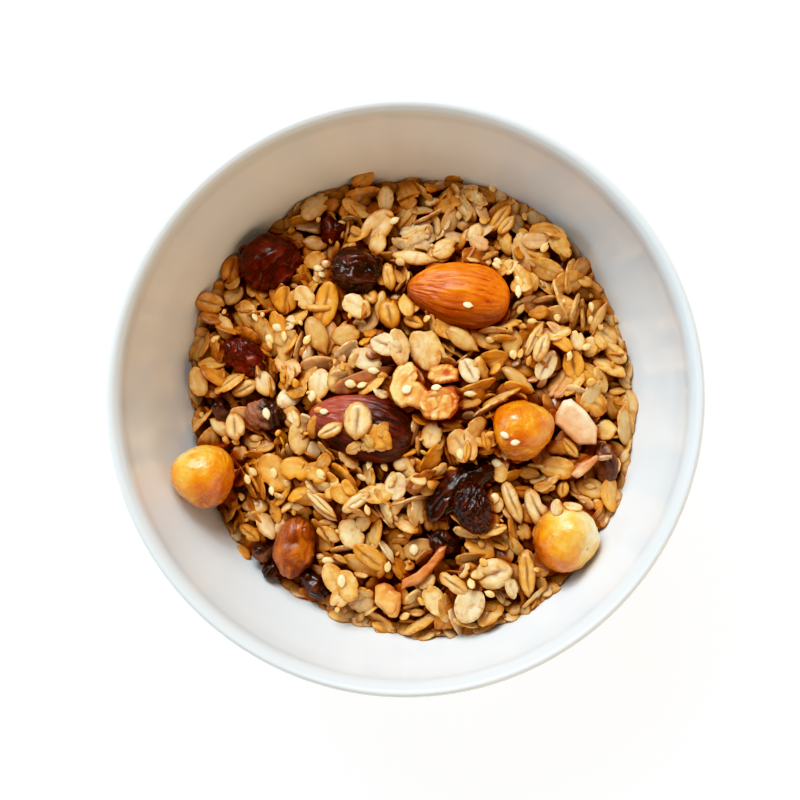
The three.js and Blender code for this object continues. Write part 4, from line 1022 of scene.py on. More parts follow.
def raisin(i, mat):
    px, py, lift, L, W, T, yaw, pitch, roll, seed, bow = RAISINS[i]
    grain, gap, deep, small, wander, dry, dry_to = WRINKLES[i]
    at, R = resting(px, py, lift), rot(yaw, pitch, roll)
    res = (84, 112) if L > 11 else (60, 80) if L > 8.5 else (40, 54)
    d, tris = ball(*res)
    u, v, w = d.T
    a = np.arctan2(w, v)
    q = 1 - u * u
    f = 0.95 + 0.05 * np.sin(5 * a + seed * 1.7 + 1.2 * u) * q \
        + 0.05 * np.sin(2.6 * u + 2 * a + seed * 2.3) * q + 0.03 * np.sin(7 * u + seed)
    base = np.stack([L / 2 * f * u, W / 2 * f * v + bow * (1 - 2 * u * u), T / 2 * f * w], 1)
    g = math.radians(-(grain - yaw))
    along = base[:, 0] * math.cos(g) + base[:, 1] * math.sin(g)
    across = -base[:, 0] * math.sin(g) + base[:, 1] * math.cos(g)
    P = np.stack([along * (0.1 if wander < 1.4 else 0.3) / gap, across / gap * 0.5, base[:, 2] / gap * 0.22], 1) + seed * 3.7
    Q = base * 0.16 + seed
    P = P + wander * (0.7 * np.stack([perlin(Q), perlin(Q + 8), perlin(Q + 15)], 1)
                      + 0.25 * np.stack([perlin(Q * 3), perlin(Q * 3 + 8), perlin(Q * 3 + 15)], 1))
    r1 = ridge(P, 1)
    r2 = ridge(P * 2.3 + 4, 1)
    r3 = fbm(P * 5.0, 2)
    off = deep * (r1 - 0.62) + 0.8 * small * (r2 - 0.5) + 0.2 * small * r3 + 0.5 * deep * perlin(base * 0.33 + seed)
    n = base / np.array([L / 2, W / 2, T / 2]) ** 2
    n /= np.linalg.norm(n, axis=1)[:, None]
    local = base + off[:, None] * n
    matt = np.zeros(len(u))
    if dry:
        turned = n @ R.T
        k = math.radians(-dry_to)
        side = turned[:, 0] * math.cos(k) + turned[:, 1] * math.sin(k) + 0.35 * perlin(base * 0.5 + seed)
        matt = dry * smoothstep(-0.1, 0.35, side)
    # painted highlight and shade: paler on the fold crests, darker in the valleys between them
    tone = tone_of(np.clip(0.05 + 0.95 * r1 * np.clip(r2, 0, 1) ** 0.5, 0, 1), np.clip(r2, 0, 1), matt, len(u))
    lc = base + seed * 11.0
    verts = local @ R.T + at
    tris = outward(local, tris)
    toppings.append((f"raisin_{i + 1}", verts, tris))
    ob = make_object(f"raisin_{i + 1}_fruit", verts, tris, mat, lc, tone, None)
    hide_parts(f"raisin_{i + 1}")


def remeshed(verts, tris, voxel, smooth=6):
    """A closed mesh again with even small faces, then smoothed. Returns vertices (mm), their normals and triangles."""
    me = bpy.data.meshes.new("tmp")
    me.from_pydata([tuple(p) for p in np.asarray(verts) * MM], [], [tuple(t) for t in tris])
    ob = bpy.data.objects.new("tmp", me)
    bpy.context.scene.collection.objects.link(ob)
    r = ob.modifiers.new("r", "REMESH")
    r.mode, r.voxel_size, r.adaptivity = "VOXEL", voxel * MM, 0.0
    if smooth:
        s = ob.modifiers.new("s", "SMOOTH")
        s.factor, s.iterations = 0.5, smooth
    dg = bpy.context.evaluated_depsgraph_get()
    e = ob.evaluated_get(dg)
    m = bpy.data.meshes.new_from_object(e)
    v = np.zeros(len(m.vertices) * 3, np.float32)
    m.vertices.foreach_get("co", v)
    n = np.zeros(len(m.vertices) * 3, np.float32)
    m.vertices.foreach_get("normal", n)
    m.calc_loop_triangles()
    t = np.zeros(len(m.loop_triangles) * 3, np.int32)
    m.loop_triangles.foreach_get("vertices", t)
    bpy.data.objects.remove(ob)
    bpy.data.meshes.remove(me)
    bpy.data.meshes.remove(m)
    return v.reshape(-1, 3) / MM, n.reshape(-1, 3), t.reshape(-1, 3)


def node_mesh(name):
    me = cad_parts[name].data
    v = np.zeros(len(me.vertices) * 3, np.float32)
    me.vertices.foreach_get("co", v)
    me.calc_loop_triangles()
    t = np.zeros(len(me.loop_triangles) * 3, np.int32)
    me.loop_triangles.foreach_get("vertices", t)
    return v.reshape(-1, 3) / MM, t.reshape(-1, 3)


def to_outline(name, v):
    """Distance in mm, seen from above, of points from the outline of a slab."""
    outline = SLABS[name][2]
    z = float(v[:, 2].mean())
    ring = np.array([place(px, py, z) for px, py in outline])
    best = np.full(len(v), 1e9)
    for a, b in zip(ring, np.roll(ring, -1, 0)):
        ab = b - a
        t = np.clip(((v[:, :2] - a) @ ab) / (ab @ ab), 0, 1)
        best = np.minimum(best, np.hypot(*(v[:, :2] - a - t[:, None] * ab).T))
    return best


def lumps(v, size, seed):
    """Rounded cells of about the given size: 1 in their middles, 0 in the grooves between them."""
    P = v / size + seed
    base = np.floor(P)
    near = np.full((len(v), 2), 9.0)
    for dx in (-1, 0, 1):
        for dy in (-1, 0, 1):
            for dz in (-1, 0, 1):
                cell = base + (dx, dy, dz)
                h = np.sin(cell @ np.array([[127.1, 269.5, 113.5], [311.7, 183.3, 271.9], [74.7, 246.1, 124.6]])) * 43758.5453
                at = cell + 0.15 + 0.7 * (h - np.floor(h))
                d = np.linalg.norm(P - at, axis=1)
                swap = d < near[:, 0]
                near[:, 1] = np.where(swap, near[:, 0], np.minimum(near[:, 1], d))
                near[:, 0] = np.where(swap, d, near[:, 0])
    return smoothstep(0.0, 0.42, near[:, 1] - near[:, 0])


def piece_from_node(name, mat, voxel=0.28, smooth=5, lump=0.35, scale=0.35, fine=0.12, cells=0.0, seed=0.0,
                    turn=0.0, change=0.0, mean=0.45, rim=0.0, bumps=None, rays=0):
    """A broken nut piece: the solid's own mesh with folds and a worn edge. Its tone changes toward a side given
    clockwise in the picture; rim raises its border; bumps are rounded cells (size, height, side, where)."""
    v, t = node_mesh(name)
    v, n, t = remeshed(v, t, voxel, smooth)
    P = v * scale + seed
    fold = ridge(P, 1)
    off = lump * (fold - 0.5) + fine * fbm(v * 1.3 + seed, 2)
    up = smoothstep(0.1, 0.7, n[:, 2])
    gap = to_outline(name, v)
    border = np.exp(-((gap - 0.75) / 0.5) ** 2)
    off = off + up * rim * (border - 0.7 * smoothstep(1.0, 2.4, gap))
    if rays:  # fine grooves from the middle out
        c0 = (v.min(0) + v.max(0)) / 2
        spoke = np.arctan2(v[:, 1] - c0[1], v[:, 0] - c0[0])
        wave = np.sin(rays * spoke + 3.5 * perlin(v * 0.45 + seed))
        off = off + up * 0.07 * wave * smoothstep(0.5, 1.5, np.hypot(v[:, 0] - c0[0], v[:, 1] - c0[1]))
    mid = (v.min(0) + v.max(0)) / 2
    half = max((v.max(0) - v.min(0))[:2]) / 2
    k = math.radians(-turn)
    side = ((v[:, 0] - mid[0]) * math.cos(k) + (v[:, 1] - mid[1]) * math.sin(k)) / half
    t0 = mean + change * side + 0.2 * perlin(v * 0.3 + seed) - 0.3 * lump * (fold - 0.5)
    if rays:
        t0 = t0 - 0.08 * wave + 0.5 * smoothstep(1.4, 0.4, np.hypot(v[:, 0] - c0[0] - 0.8, v[:, 1] - c0[1] - 0.3))
    t0 = t0 - 0.7 * rim * (border - 0.5)
    # the skin at the border is darker
    t0 = t0 + cells * 0.5 * smoothstep(1.1, 0.2, gap) * (0.5 + 0.5 * smoothstep(-0.4, 0.4, side))
    if bumps is not None:
        size, height, toward, where = bumps
        k = math.radians(-toward)
        reach = ((v[:, 0] - mid[0]) * math.cos(k) + (v[:, 1] - mid[1]) * math.sin(k)) / half
        mask = smoothstep(where - 0.15, where + 0.2, reach)
        c = lumps(v + 0.9 * np.stack([perlin(v * 0.5), perlin(v * 0.5 + 9), perlin(v * 0.5 + 17)], 1), size, seed)
        off = off + mask * up * height * (c - 0.6)
        t0 = t0 + mask * (0.16 - 0.34 * c)
    v2 = v + n * off[:, None]
    tone = tone_of(np.clip(t0, 0, 1), cells, 0, len(v))
    toppings.append((name, v2, t))
    ob = make_object(f"{name}_piece", v2, t, mat, v, tone, None)
    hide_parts(name)
    return ob


M_OATS = material_oats()
M_CORE = material_core()
M_PORCELAIN = material_porcelain()
# the last colour and its weight are painted light: shade on the lower side of almond_1, sheen on the lit side of
# almond_2
M_ALMOND_1 = material_almond("almond_skin_light", "#e67a12", "#c65608", "#842a03", "#f0a050", "#6a2004", 0.85)
M_ALMOND_2 = material_almond("almond_skin_dark", "#5c180b", "#300803", "#140201", "#a85a3c", "#ac4a34", 0.8)
M_HAZEL = material_hazelnut()
M_RAISIN = material_raisin("raisin_dark_red", "#3a0400", "#5c0c03", "#882a10", (0.2, 0.34), 0.35)
M_RAISIN_DARK = material_raisin("raisin_maroon", "#1c0301", "#3c0b05", "#742a18", (0.18, 0.3), 0.25)
M_RAISIN_BLACK = material_raisin("raisin_black", "#1a0502", "#3a1006", "#6c2e16", (0.16, 0.28), 0.15)
M_RAISIN_BROWN = material_raisin("raisin_chocolate", "#1a0604", "#3a120a", "#6a2c18", (0.16, 0.36), 0.1, "#a5674a")
M_RAISIN_CLEAR = material_raisin("raisin_clear_brown", "#43190a", "#7a3f20", "#b27a48", (0.16, 0.28), 0.5)
M_GOLDEN = material_raisin("raisin_amber", "#6e2804", "#a65410", "#cf873a", (0.14, 0.26), 0.5, "#b8724c")
M_WALNUT = material_nut("walnut_piece", "#f1c67c", "#e3964a", "#bc501e")
M_CHIP_PALE = material_nut("nut_chip_pale", "#f8dfba", "#e4ac7e", "#c4703a", 1.2)
M_CHIP = material_nut("nut_chip", "#f1cf9c", "#d4854a", "#b85a1a", 1.2)
M_SEED = material_seed("sesame", "#fae6ba", "#efc276", "#cf7a1c")
M_SUN = material_seed("sunflower", "#d9c19a", "#b89a70", "#8b6a42")
print("materials", round(time.time() - T0, 1))

for i, m in enumerate((M_ALMOND_1, M_ALMOND_2)):
    almond(i, m)
for i in range(3):
    hazelnut(i, M_HAZEL)
for i in range(len(RAISINS)):
    mat = {1: M_RAISIN_BLACK, 3: M_RAISIN_BROWN, 4: M_RAISIN_BROWN, 5: M_GOLDEN, 6: M_RAISIN_DARK, 7: M_RAISIN_BLACK, 8: M_RAISIN_BLACK,
           9: M_RAISIN_CLEAR, 10: M_RAISIN_BROWN, 11: M_RAISIN_BLACK, 12: M_RAISIN_BLACK}.get(i, M_RAISIN)
    raisin(i, mat)
piece_from_node("walnut_1", M_WALNUT, 0.27, 4, 0.45, 0.26, 0.1, 0.7, 3.0, 10, 0.18, 0.42, 0.28, (2.8, 0.4, 25, 0.1))
piece_from_node("walnut_2", M_WALNUT, 0.27, 4, 0.35, 0.3, 0.1, 0.5, 7.0, 0, 0.1, 0.42, 0.2, None, 12)
piece_from_node("walnut_3", M_WALNUT, 0.27, 2, 0.5, 0.22, 0.06, 0.2, 11.0, -60, 0.12, 0.46)
piece_from_node("nut_chip_1", M_CHIP_PALE, 0.22, 2, 0.2, 0.24, 0.06, 0.0, 5.0, 115, 0.3, 0.5, 0.1)
piece_from_node("nut_chip_2", M_CHIP_PALE, 0.2, 2, 0.16, 0.4, 0.07, 0.1, 6.0, 0, 0.1, 0.72)
piece_from_node("nut_chip_3", M_CHIP, 0.22, 2, 0.2, 0.35, 0.08, 0.2, 8.0, 0, 0.1, 0.72)
print("toppings", round(time.time() - T0, 1))

# =====================================================================================
# height map of what lies in the bowl
# =====================================================================================
PITCH, HALF = 0.4, 62.0
NG = int(2 * HALF / PITCH) + 1
axis = -HALF + PITCH * np.arange(NG)
GX, GY = np.meshgrid(axis, axis, indexing="ij")
GR, GTH = np.hypot(GX, GY), np.arctan2(GY, GX)
TARGET = heap_height(GX, GY)
WALL = inner_height(GR)
R_EDGE = inner_radius(edge_height(GTH))
INSIDE = GR < R_EDGE
CORE_DEPTH = 6.0
rng = np.random.default_rng(2024)
relief = fbm(np.stack([GX.ravel() * 0.16, GY.ravel() * 0.16, 0 * GX.ravel()], 1), 2).reshape(GX.shape)
CORE = TARGET - CORE_DEPTH + 1.2 * relief
H = np.maximum(CORE, WALL)
PITS = [(444, 542, 5.8, 30.0), (268, 398, 3.0, 32.5), (360, 560, 2.6, 33.5), (312, 226, 4.2, 27.0), (322, 445, 2.6, 34.0),
        (520, 212, 2.4, 26.0)]

# top surface of the toppings, seen from above
NUT = np.full(H.shape, -1e9)


def raster_mesh(grid, verts, tris):
    """The highest point of the mesh over each cell, by its vertices and face middles."""
    pts = np.concatenate([verts, verts[tris].mean(1)])
    i = np.rint((pts[:, 0] + HALF) / PITCH).astype(int)
    j = np.rint((pts[:, 1] + HALF) / PITCH).astype(int)
    ok = (i >= 0) & (j >= 0) & (i < NG) & (j < NG)
    np.maximum.at(grid, (i[ok], j[ok]), pts[ok, 2])


for name, verts, tris in toppings:
    raster_mesh(NUT, verts, tris)
pad = NUT.copy()
for di in (-1, 0, 1):
    for dj in (-1, 0, 1):
        pad = np.maximum(pad, np.roll(np.roll(NUT, di, 0), dj, 1))
NUT = pad


def look(grid, x, y):
    i = np.clip(np.rint((x + HALF) / PITCH).astype(int), 0, NG - 1)
    j = np.clip(np.rint((y + HALF) / PITCH).astype(int), 0, NG - 1)
    return grid[i, j]


# sample points on a unit disc, for footprints
_k = np.arange(46) + 0.5
DISC = np.stack([np.sqrt(_k / 46) * np.cos(_k * 2.39996), np.sqrt(_k / 46) * np.sin(_k * 2.39996)], 1)
_e = np.arange(18) / 18 * 2 * np.pi
DISC = np.concatenate([DISC, np.stack([np.cos(_e), np.sin(_e)], 1)])


def frame_of(yaw, tilt, lean):
    """A flake's axes: yaw turns its length in the plane (degrees anticlockwise), tilt lifts it, toward lean."""
    a, t, l = math.radians(yaw), math.radians(tilt), math.radians(lean)
    n = np.array([math.sin(t) * math.cos(l), math.sin(t) * math.sin(l), math.cos(t)])
    ax = np.array([math.cos(a), math.sin(a), 0.0])
    ax = ax - n * (ax @ n)
    if np.linalg.norm(ax) < 0.2:
        ax = np.cross(n, [0, 0, 1.0])
    ax /= np.linalg.norm(ax)
    return np.stack([ax, np.cross(n, ax), n], 1)


def settle(x, y, R, L, W, T, field=None):
    """Height of a flake's middle so that it just lies on the height map, and its footprint."""
    pts = (DISC * (L / 2, W / 2)) @ R[:, :2].T
    low = pts[:, 2] - T / 2
    gx, gy = x + pts[:, 0], y + pts[:, 1]
    z = look(H if field is None else field, gx, gy)
    return float(np.max(z - low)), gx, gy, pts[:, 2]


def stamp(x, y, z, R, L, W, T):
    """Raises the height map by a flake."""
    n = R[:, 2]
    ext = max(L, W) / 2 + 0.4
    i0, i1 = int((x - ext + HALF) / PITCH), int((x + ext + HALF) / PITCH) + 2
    j0, j1 = int((y - ext + HALF) / PITCH), int((y + ext + HALF) / PITCH) + 2
    i0, j0, i1, j1 = max(i0, 0), max(j0, 0), min(i1, NG), min(j1, NG)
    dx, dy = GX[i0:i1, j0:j1] - x, GY[i0:i1, j0:j1] - y
    nz = max(n[2], 0.12)
    dz = -(n[0] * dx + n[1] * dy) / nz
    a = dx * R[0, 0] + dy * R[1, 0] + dz * R[2, 0]
    b = dx * R[0, 1] + dy * R[1, 1] + dz * R[2, 1]
    on = (a / (L / 2)) ** 2 + (b / (W / 2)) ** 2 <= 1
    top = z + dz + T / 2 / max(nz, 0.35)
    part = H[i0:i1, j0:j1]
    part[on] = np.maximum(part[on], top[on])


def too_covering(gx, gy, z, pz, most):
    """Whether a flake would hide too much of a topping."""
    nut = look(NUT, gx, gy)
    over = (nut > -1e8) & (z + pz > nut - 0.2)
    return over.mean() > most


placed = []  # (kind, centre, R, L, W, T, tone, options)
TONES = {  # base tone, then orange, pinkish, grey, whitish
    "W": (0.0, 0, 0, 0, 0.4), "P": (0.07, 0, 0, 0, 0.06), "M": (0.18, 0.04, 0, 0, 0), "G": (0.29, 0.18, 0, 0, 0),
    "O": (0.3, 0.6, 0, 0, 0), "T": (0.48, 0.1, 0, 0, 0), "D": (0.34, 0, 0, 0.35, 0), "B": (0.72, 0, 0.4, 0, 0),
    "S": (0.25, 0, 0, 0.5, 0), "Q": (0.14, 0, 0.45, 0, 0.08),
}


def put(rng, px, py, l, w, ang, tone, kind, over=False):
    """A piece seen at a pixel of the picture, with the length, width and turn it has there."""
    z = 40.0
    s0 = (H_CAM - z) / F_PX
    L, seen = l * s0, w * s0
    if kind[0] == "e":
        W, T, tilt = max(seen, 1.5), 0.95, rng.uniform(0, 20)
        L = min(max(L, 2.3), 3.6)
    elif kind[0] in "gs":
        W, T, tilt = seen, min(0.45 * seen, rng.uniform(1.6, 2.2)), rng.uniform(0, 10)
    elif kind[0] == "n":
        W, T, tilt = seen * 1.15, 0.8, 28.0
    else:
        T = rng.uniform(0.55, 0.95)
        W = max(seen, min(max(0.62 * L, 3.4), 5.6), seen)
        tilt = math.degrees(math.acos(min(1.0, max(seen - 0.5 * T, 0.2) / W))) if seen < W else rng.uniform(0, 9)
        tilt = min(tilt, 76.0)
    field = np.maximum(H, NUT) if over else H
    best = None
    for side in (-90, 90):
        R = frame_of(-ang, tilt, -ang + side + rng.normal(0, 12))
        zz = 40.0
        for _ in range(3):
            x, y = place(px, py, zz)
            pts = (DISC * (L / 2, W / 2)) @ R[:, :2].T
            g = look(field, x + pts[:, 0], y + pts[:, 1])
            zz = float(np.percentile(g - pts[:, 2] + T / 2, 82 if kind[0] != "e" else 60))
        zz -= 0.25 + (0.32 * W * math.sin(math.radians(tilt)) if tilt > 15 else 0)
        if best is None or zz < best[0]:
            best = (zz, R)
    z, R = best
    x, y = place(px, py, z)
    if not over:
        # stays under the toppings where it passes them
        pts = (DISC * (L / 2, W / 2)) @ R[:, :2].T
        nut = look(NUT, x + pts[:, 0], y + pts[:, 1])
        hit = nut > -1e8
        if hit.mean() > 0.12:
            z = min(z, float(np.percentile((nut - pts[:, 2] - T)[hit], 30)))
            x, y = place(px, py, z)
    stamp(x, y, z, R, L, W, T)
    if over:
        placed.append((kind, np.array([x, y, z]), R, L, W, T, tone, {"over": True}))
    else:
        placed.append((kind, np.array([x, y, z]), R, L, W, T, tone, {}))


def slope_frame(x, y, size, rng, spread):
    """Tilt and lean of the local ground under a footprint, plus a random part."""
    h = size * 0.45
    zx = look(H, np.array([x + h, x - h]), np.array([y, y]))
    zy = look(H, np.array([x, x]), np.array([y + h, y - h]))
    g = np.array([zx[0] - zx[1], zy[0] - zy[1]]) / (2 * h)
    g = np.clip(g, -1.2, 1.2) * 0.8 + rng.normal(0, spread, 2)
    tilt = math.degrees(math.atan(np.hypot(*g)))
    lean = math.degrees(math.atan2(-g[1], -g[0]))
    return tilt, lean


def size_of(rng, kind):
    if kind == "whole":
        return rng.normal(8.5, 0.9), rng.normal(5.7, 0.6), rng.uniform(0.5, 0.8)
    if kind == "small":
        return rng.normal(6.8, 0.8), rng.normal(4.4, 0.55), rng.uniform(0.5, 0.75)
    if kind == "bit":
        return rng.uniform(3.0, 5.4), rng.uniform(2.0, 3.6), rng.uniform(0.45, 0.7)
    return rng.normal(7.6, 0.6), rng.normal(3.9, 0.35), rng.uniform(1.7, 2.3)  # groat


def drop(rng, x, y, kind, spread, tries=12, sink=0.25, cover=0.1, steep=None):
    L, W, T = size_of(rng, kind)
    best = None
    for _ in range(tries):
        yaw = rng.uniform(0, 180)
        if steep is not None:
            tilt, lean = rng.uniform(*steep), rng.uniform(0, 360)
        else:
            tilt, lean = slope_frame(x, y, W, rng, spread)
        R = frame_of(yaw, tilt, lean)
        z, gx, gy, pz = settle(x, y, R, L, W, T)
        r = np.hypot(gx, gy)
        edge = inner_radius(edge_height(np.arctan2(gy, gx)))
        if np.max(r - edge) > 0.4:
            continue
        score = z + rng.uniform(0, 0.25)
        if best is None or score < best[0]:
            best = (score, z, R, gx, gy, pz)
    if best is None:
        return False
    _, z, R, gx, gy, pz = best
    z -= sink
    if too_covering(gx, gy, z, pz, cover):
        return False
    stamp(x, y, z, R, L, W, T)
    placed.append((kind, np.array([x, y, z]), R, L, W, T, None, {}))
    return True


def fill(rng, goal, limit, kinds, weights, spread, stop=0.5):
    """Drops flakes where the heap is lowest against the goal surface, until it is reached."""
    made, misses = 0, 0
    while made < limit and misses < 260:
        n = 50
        r = np.sqrt(rng.uniform(0, 1, n)) * 58
        a = rng.uniform(0, 2 * np.pi, n)
        x, y = r * np.cos(a), r * np.sin(a)
        ok = r < inner_radius(edge_height(a)) - 2.1
        lack = np.where(ok, look(goal, x, y) - look(SMOOTH_H(), x, y), -9)
        k = int(np.argmax(lack))
        if lack[k] < stop:
            misses += 5
            continue
        pick = rng.uniform()
        steep, sink = ((58, 82), 1.5) if pick < 0.2 else ((26, 55), 0.8) if pick < 0.5 else (None, 0.25)
        if drop(rng, x[k], y[k], rng.choice(kinds, p=weights), spread, 9, sink, 0.1, steep):
            made += 1
        else:
            misses += 1
    return made


_smooth_at = [None, -1]


def SMOOTH_H():
    """The height map averaged over a few mm, refreshed now and then."""
    if _smooth_at[0] is None or len(placed) - _smooth_at[1] >= 12:
        s = H
        for shift in (3, 2):
            s = (s + np.roll(s, shift, 0) + np.roll(s, -shift, 0) + np.roll(s, shift, 1) + np.roll(s, -shift, 1)) / 5
        _smooth_at[0], _smooth_at[1] = s, len(placed)
    return _smooth_at[0]


GOAL = TARGET.copy()
for px, py, r, floor in PITS:
    cx, cy = place(px, py, floor)
    d = np.hypot(GX - cx, GY - cy)
    GOAL = np.where(d < r, np.minimum(GOAL, floor), GOAL)
n1 = fill(rng, GOAL - 2.6, 1500, ["whole", "small", "bit", "groat"], [0.44, 0.3, 0.2, 0.06], 0.35)
print("base flakes", n1, round(time.time() - T0, 1))
for row in FLAKES:
    put(rng, *row)
print("seen flakes", len(placed), round(time.time() - T0, 1))
n2 = fill(rng, GOAL - 2.3, 170, ["small", "bit", "groat"], [0.12, 0.78, 0.1], 0.4)
n4 = 0
for k in range(200):
    a = 2 * np.pi * (k + rng.uniform(-0.4, 0.4)) / 200
    edge = float(edge_height(a))
    L, W, T = rng.uniform(3.2, 6.2), rng.uniform(2.4, 4.0), rng.uniform(0.5, 0.75)
    r = float(inner_radius(edge)) - rng.uniform(1.0, 2.2)
    x, y = r * math.cos(a), r * math.sin(a)
    if float(look(NUT, np.array(x), np.array(y))) > -1e8:
        continue
    R = frame_of(math.degrees(a) + 90 + rng.normal(0, 30), rng.uniform(8, 45), math.degrees(a) + 180 + rng.normal(0, 25))
    z = min(settle(x, y, R, L, W, T)[0], edge + rng.uniform(-1.4, -0.2))
    stamp(x, y, z, R, L, W, T)
    placed.append(("small", np.array([x, y, z]), R, L, W, T, "PMMGPS"[rng.integers(0, 6)], {}))
    n4 += 1
for k in range(46):
    a = 2 * np.pi * (k + rng.uniform(-0.6, 0.6)) / 46
    z = float(edge_height(a)) + rng.uniform(-1.8, 0.3)
    L, W, T = rng.uniform(4.5, 8.5), rng.uniform(3.2, 5.2), rng.uniform(0.5, 0.75)
    rise = (float(inner_radius(z + 1)) - float(inner_radius(z - 1))) / 2
    slope = math.degrees(math.atan2(1, rise)) - rng.uniform(4, 22)
    r = float(inner_radius(z)) - 0.9 - 0.2 * rng.uniform()
    x, y = r * math.cos(a), r * math.sin(a)
    if float(look(NUT, np.array(x), np.array(y))) > -1e8 or float(look(NUT, np.array(x * 0.96), np.array(y * 0.96))) > -1e8:
        continue
    R = frame_of(math.degrees(a) + 90 + rng.normal(0, 25), slope, math.degrees(a) + 180 + rng.normal(0, 12))
    stamp(x, y, z, R, L, W, T)
    placed.append(("small", np.array([x, y, z]), R, L, W, T, "PPMGWM"[rng.integers(0, 6)], {}))
    n4 += 1
print("edge flakes", n4)
print("gap flakes", n2, round(time.time() - T0, 1))
n3 = 0
for _ in range(280):
    r, a = math.sqrt(rng.uniform()) * 53, rng.uniform(0, 2 * np.pi)
    x, y = r * math.cos(a), r * math.sin(a)
    if r > float(inner_radius(edge_height(a))) - 1.8:
        continue
    low = float(look(SMOOTH_H(), np.array(x), np.array(y))) - float(look(H, np.array(x), np.array(y)))
    if low < 0.25 or float(look(NUT, np.array(x), np.array(y))) > -1e8:
        continue
    seed = rng.uniform() < 0.22
    L = rng.uniform(2.6, 3.2) if seed else rng.uniform(1.0, 2.6)
    W = L * (0.6 if seed else rng.uniform(0.5, 0.9))
    R = frame_of(rng.uniform(0, 180), rng.uniform(0, 40), rng.uniform(0, 360))
    z = settle(x, y, R, L, W, 0.8)[0] - 0.3
    stamp(x, y, z, R, L, W, 0.8)
    placed.append(("e" if seed else "crumb", np.array([x, y, z]), R, L, W, 0.9 if seed else rng.uniform(0.5, 1.1), None, {}))
    n3 += 1
print("crumbs", n3, round(time.time() - T0, 1))
for row in ON_TOPPINGS:
    put(rng, *row, over=True)


# =====================================================================================
# build the flakes
# =====================================================================================
def blurred(g, steps):
    for shift in steps:
        g = (g + np.roll(g, shift, 0) + np.roll(g, -shift, 0) + np.roll(g, shift, 1) + np.roll(g, -shift, 1)) / 5
    return g


TOPS = np.where(NUT > -1e8, np.maximum(H, NUT), H)
TOPS_NEAR, TOPS_WIDE = blurred(TOPS, (1, 1, 1)), blurred(TOPS, (2, 3, 2, 3, 4))


# how deep a point lies under the tops around it, 0 to 1; the materials paint it as shade in the gaps
def depth_of(v):
    near = (look(TOPS_NEAR, v[:, 0], v[:, 1]) - v[:, 2] - 0.35) / 1.9
    wide = (look(TOPS_WIDE, v[:, 0], v[:, 1]) - v[:, 2] + 0.1) / 2.6
    return np.clip(0.6 * np.clip(near, 0, 1) + 0.6 * np.clip(wide, 0, 1), 0, 1)



soups, kernels, seeds = [Soup() for _ in range(4)], Soup(), Soup()
turn_of = 0
for kind, centre, R, L, W, T, tone, opt in placed:
    hidden = float(look(H, centre[0], centre[1])) - centre[2]
    # painted shade: a flake buried under the surface gets a darker tone, up to 0.3 more
    under = 0.1 * min(max(hidden - 0.8, 0.0), 3.0)
    extra = np.zeros(4)
    if tone is None:
        base = rng.normal(0.24, 0.11) + under
        if rng.uniform() < 0.03:
            base = rng.uniform(0.5, 0.65)
        if rng.uniform() < 0.3:
            extra[rng.integers(0, 4)] = rng.uniform(0.15, 0.5)
    else:
        t = TONES[tone]
        base, extra = t[0] + rng.normal(0, 0.03), np.array(t[1:], float)
        under = 0.0
    base = float(np.clip(base, 0.0, 0.95))
    creased = kind.endswith("c") and len(kind) == 2
    if kind[0] in "e" or kind == "crumb":
        if kind == "crumb":
            local, lc, edge, crease = flake_shape(rng, L, W, T, T_CRUMB, 0, 0.0, 0.9, 0.5, 0.1, 1.8)
            if tone is None:
                extra = np.array([rng.uniform(0, 0.5), 0, 0, 0])
            kernels.add(T_CRUMB, local, lc, tone_of(base, edge * 0.3, 0, len(local)), centre, R, extra)
        else:
            local, lc, edge, crease = flake_shape(rng, L, W, T, T_SEED, 0, 0.0, 1.0, 0.12, 0.45, 0.25)
            base = {"W": 0.05, "P": 0.28, "M": 0.42, "G": 0.58, "O": 0.85, "T": 0.8, "Q": 0.5, "D": 0.7, "B": 1.0}.get(tone, 0.5)
            seeds.add(T_SEED, local, lc, tone_of(base + rng.normal(0, 0.04), edge, 0, len(local)), centre, R, extra)
        continue
    if kind == "groat" or kind[0] in "gs":
        if kind[0] == "s":
            args = (0.12, 0.95, 0.35, 0.42, 0.3)
        else:
            args = (1.0 if creased else rng.uniform(0.5, 0.9), rng.uniform(0.35, 0.6), 0.5, 0.22, 0.55)
        local, lc, edge, crease = flake_shape(rng, L, W, T, T_KERNEL, 0, *args)
        kernels.add(T_KERNEL, local, lc, tone_of(base, edge, crease, len(local)), centre, R, extra)
        continue
    seen = tone is not None or hidden < 2.5
    tpl = T_FLAKE if seen else T_LOW
    broken = 0.5 if kind == "bit" else 0.0
    if rng.uniform() < (0.3 if tone is None else 0.1):
        broken = max(broken, rng.uniform(0.2, 0.5 if tone is None else 0.3))
    strength = 1.0 if creased else (rng.uniform(0.0, 0.45) if tone else rng.uniform(0.1, 0.9))
    bend = rng.uniform(0.5, 1.1) * (0.8 if tone else 1.0)
    if kind[0] == "n":
        bend, strength, broken = 0.9, 0.0, 0.0
    rough = rng.uniform(0.35, 0.8) * (0.6 if max(L, W) > 8.2 else 1) if tone else rng.uniform(0.5, 1.1)
    local, lc, edge, crease = flake_shape(rng, L, W, T, tpl, broken, strength, 0.0, bend, rng.uniform(0, 0.09), rough)
    turn_of += 1
    soups[turn_of % len(soups)].add(tpl, local, lc, tone_of(base, edge, crease, len(local)), centre, R, extra)
# painted shade in the gaps of every flake, kernel and seed mesh
for s in soups + [kernels, seeds]:
    s.paint_gap_shade()
flakes = [s.build(f"oat_flakes_{k + 1}", M_OATS) for k, s in enumerate(soups) if s.count]
flakes.append(kernels.build("oat_kernels", M_OATS))
flakes.append(seeds.build("sesame_seeds", M_SEED))
print("flake meshes", len(flakes), [s.tris for s in soups + [kernels, seeds]], round(time.time() - T0, 1))

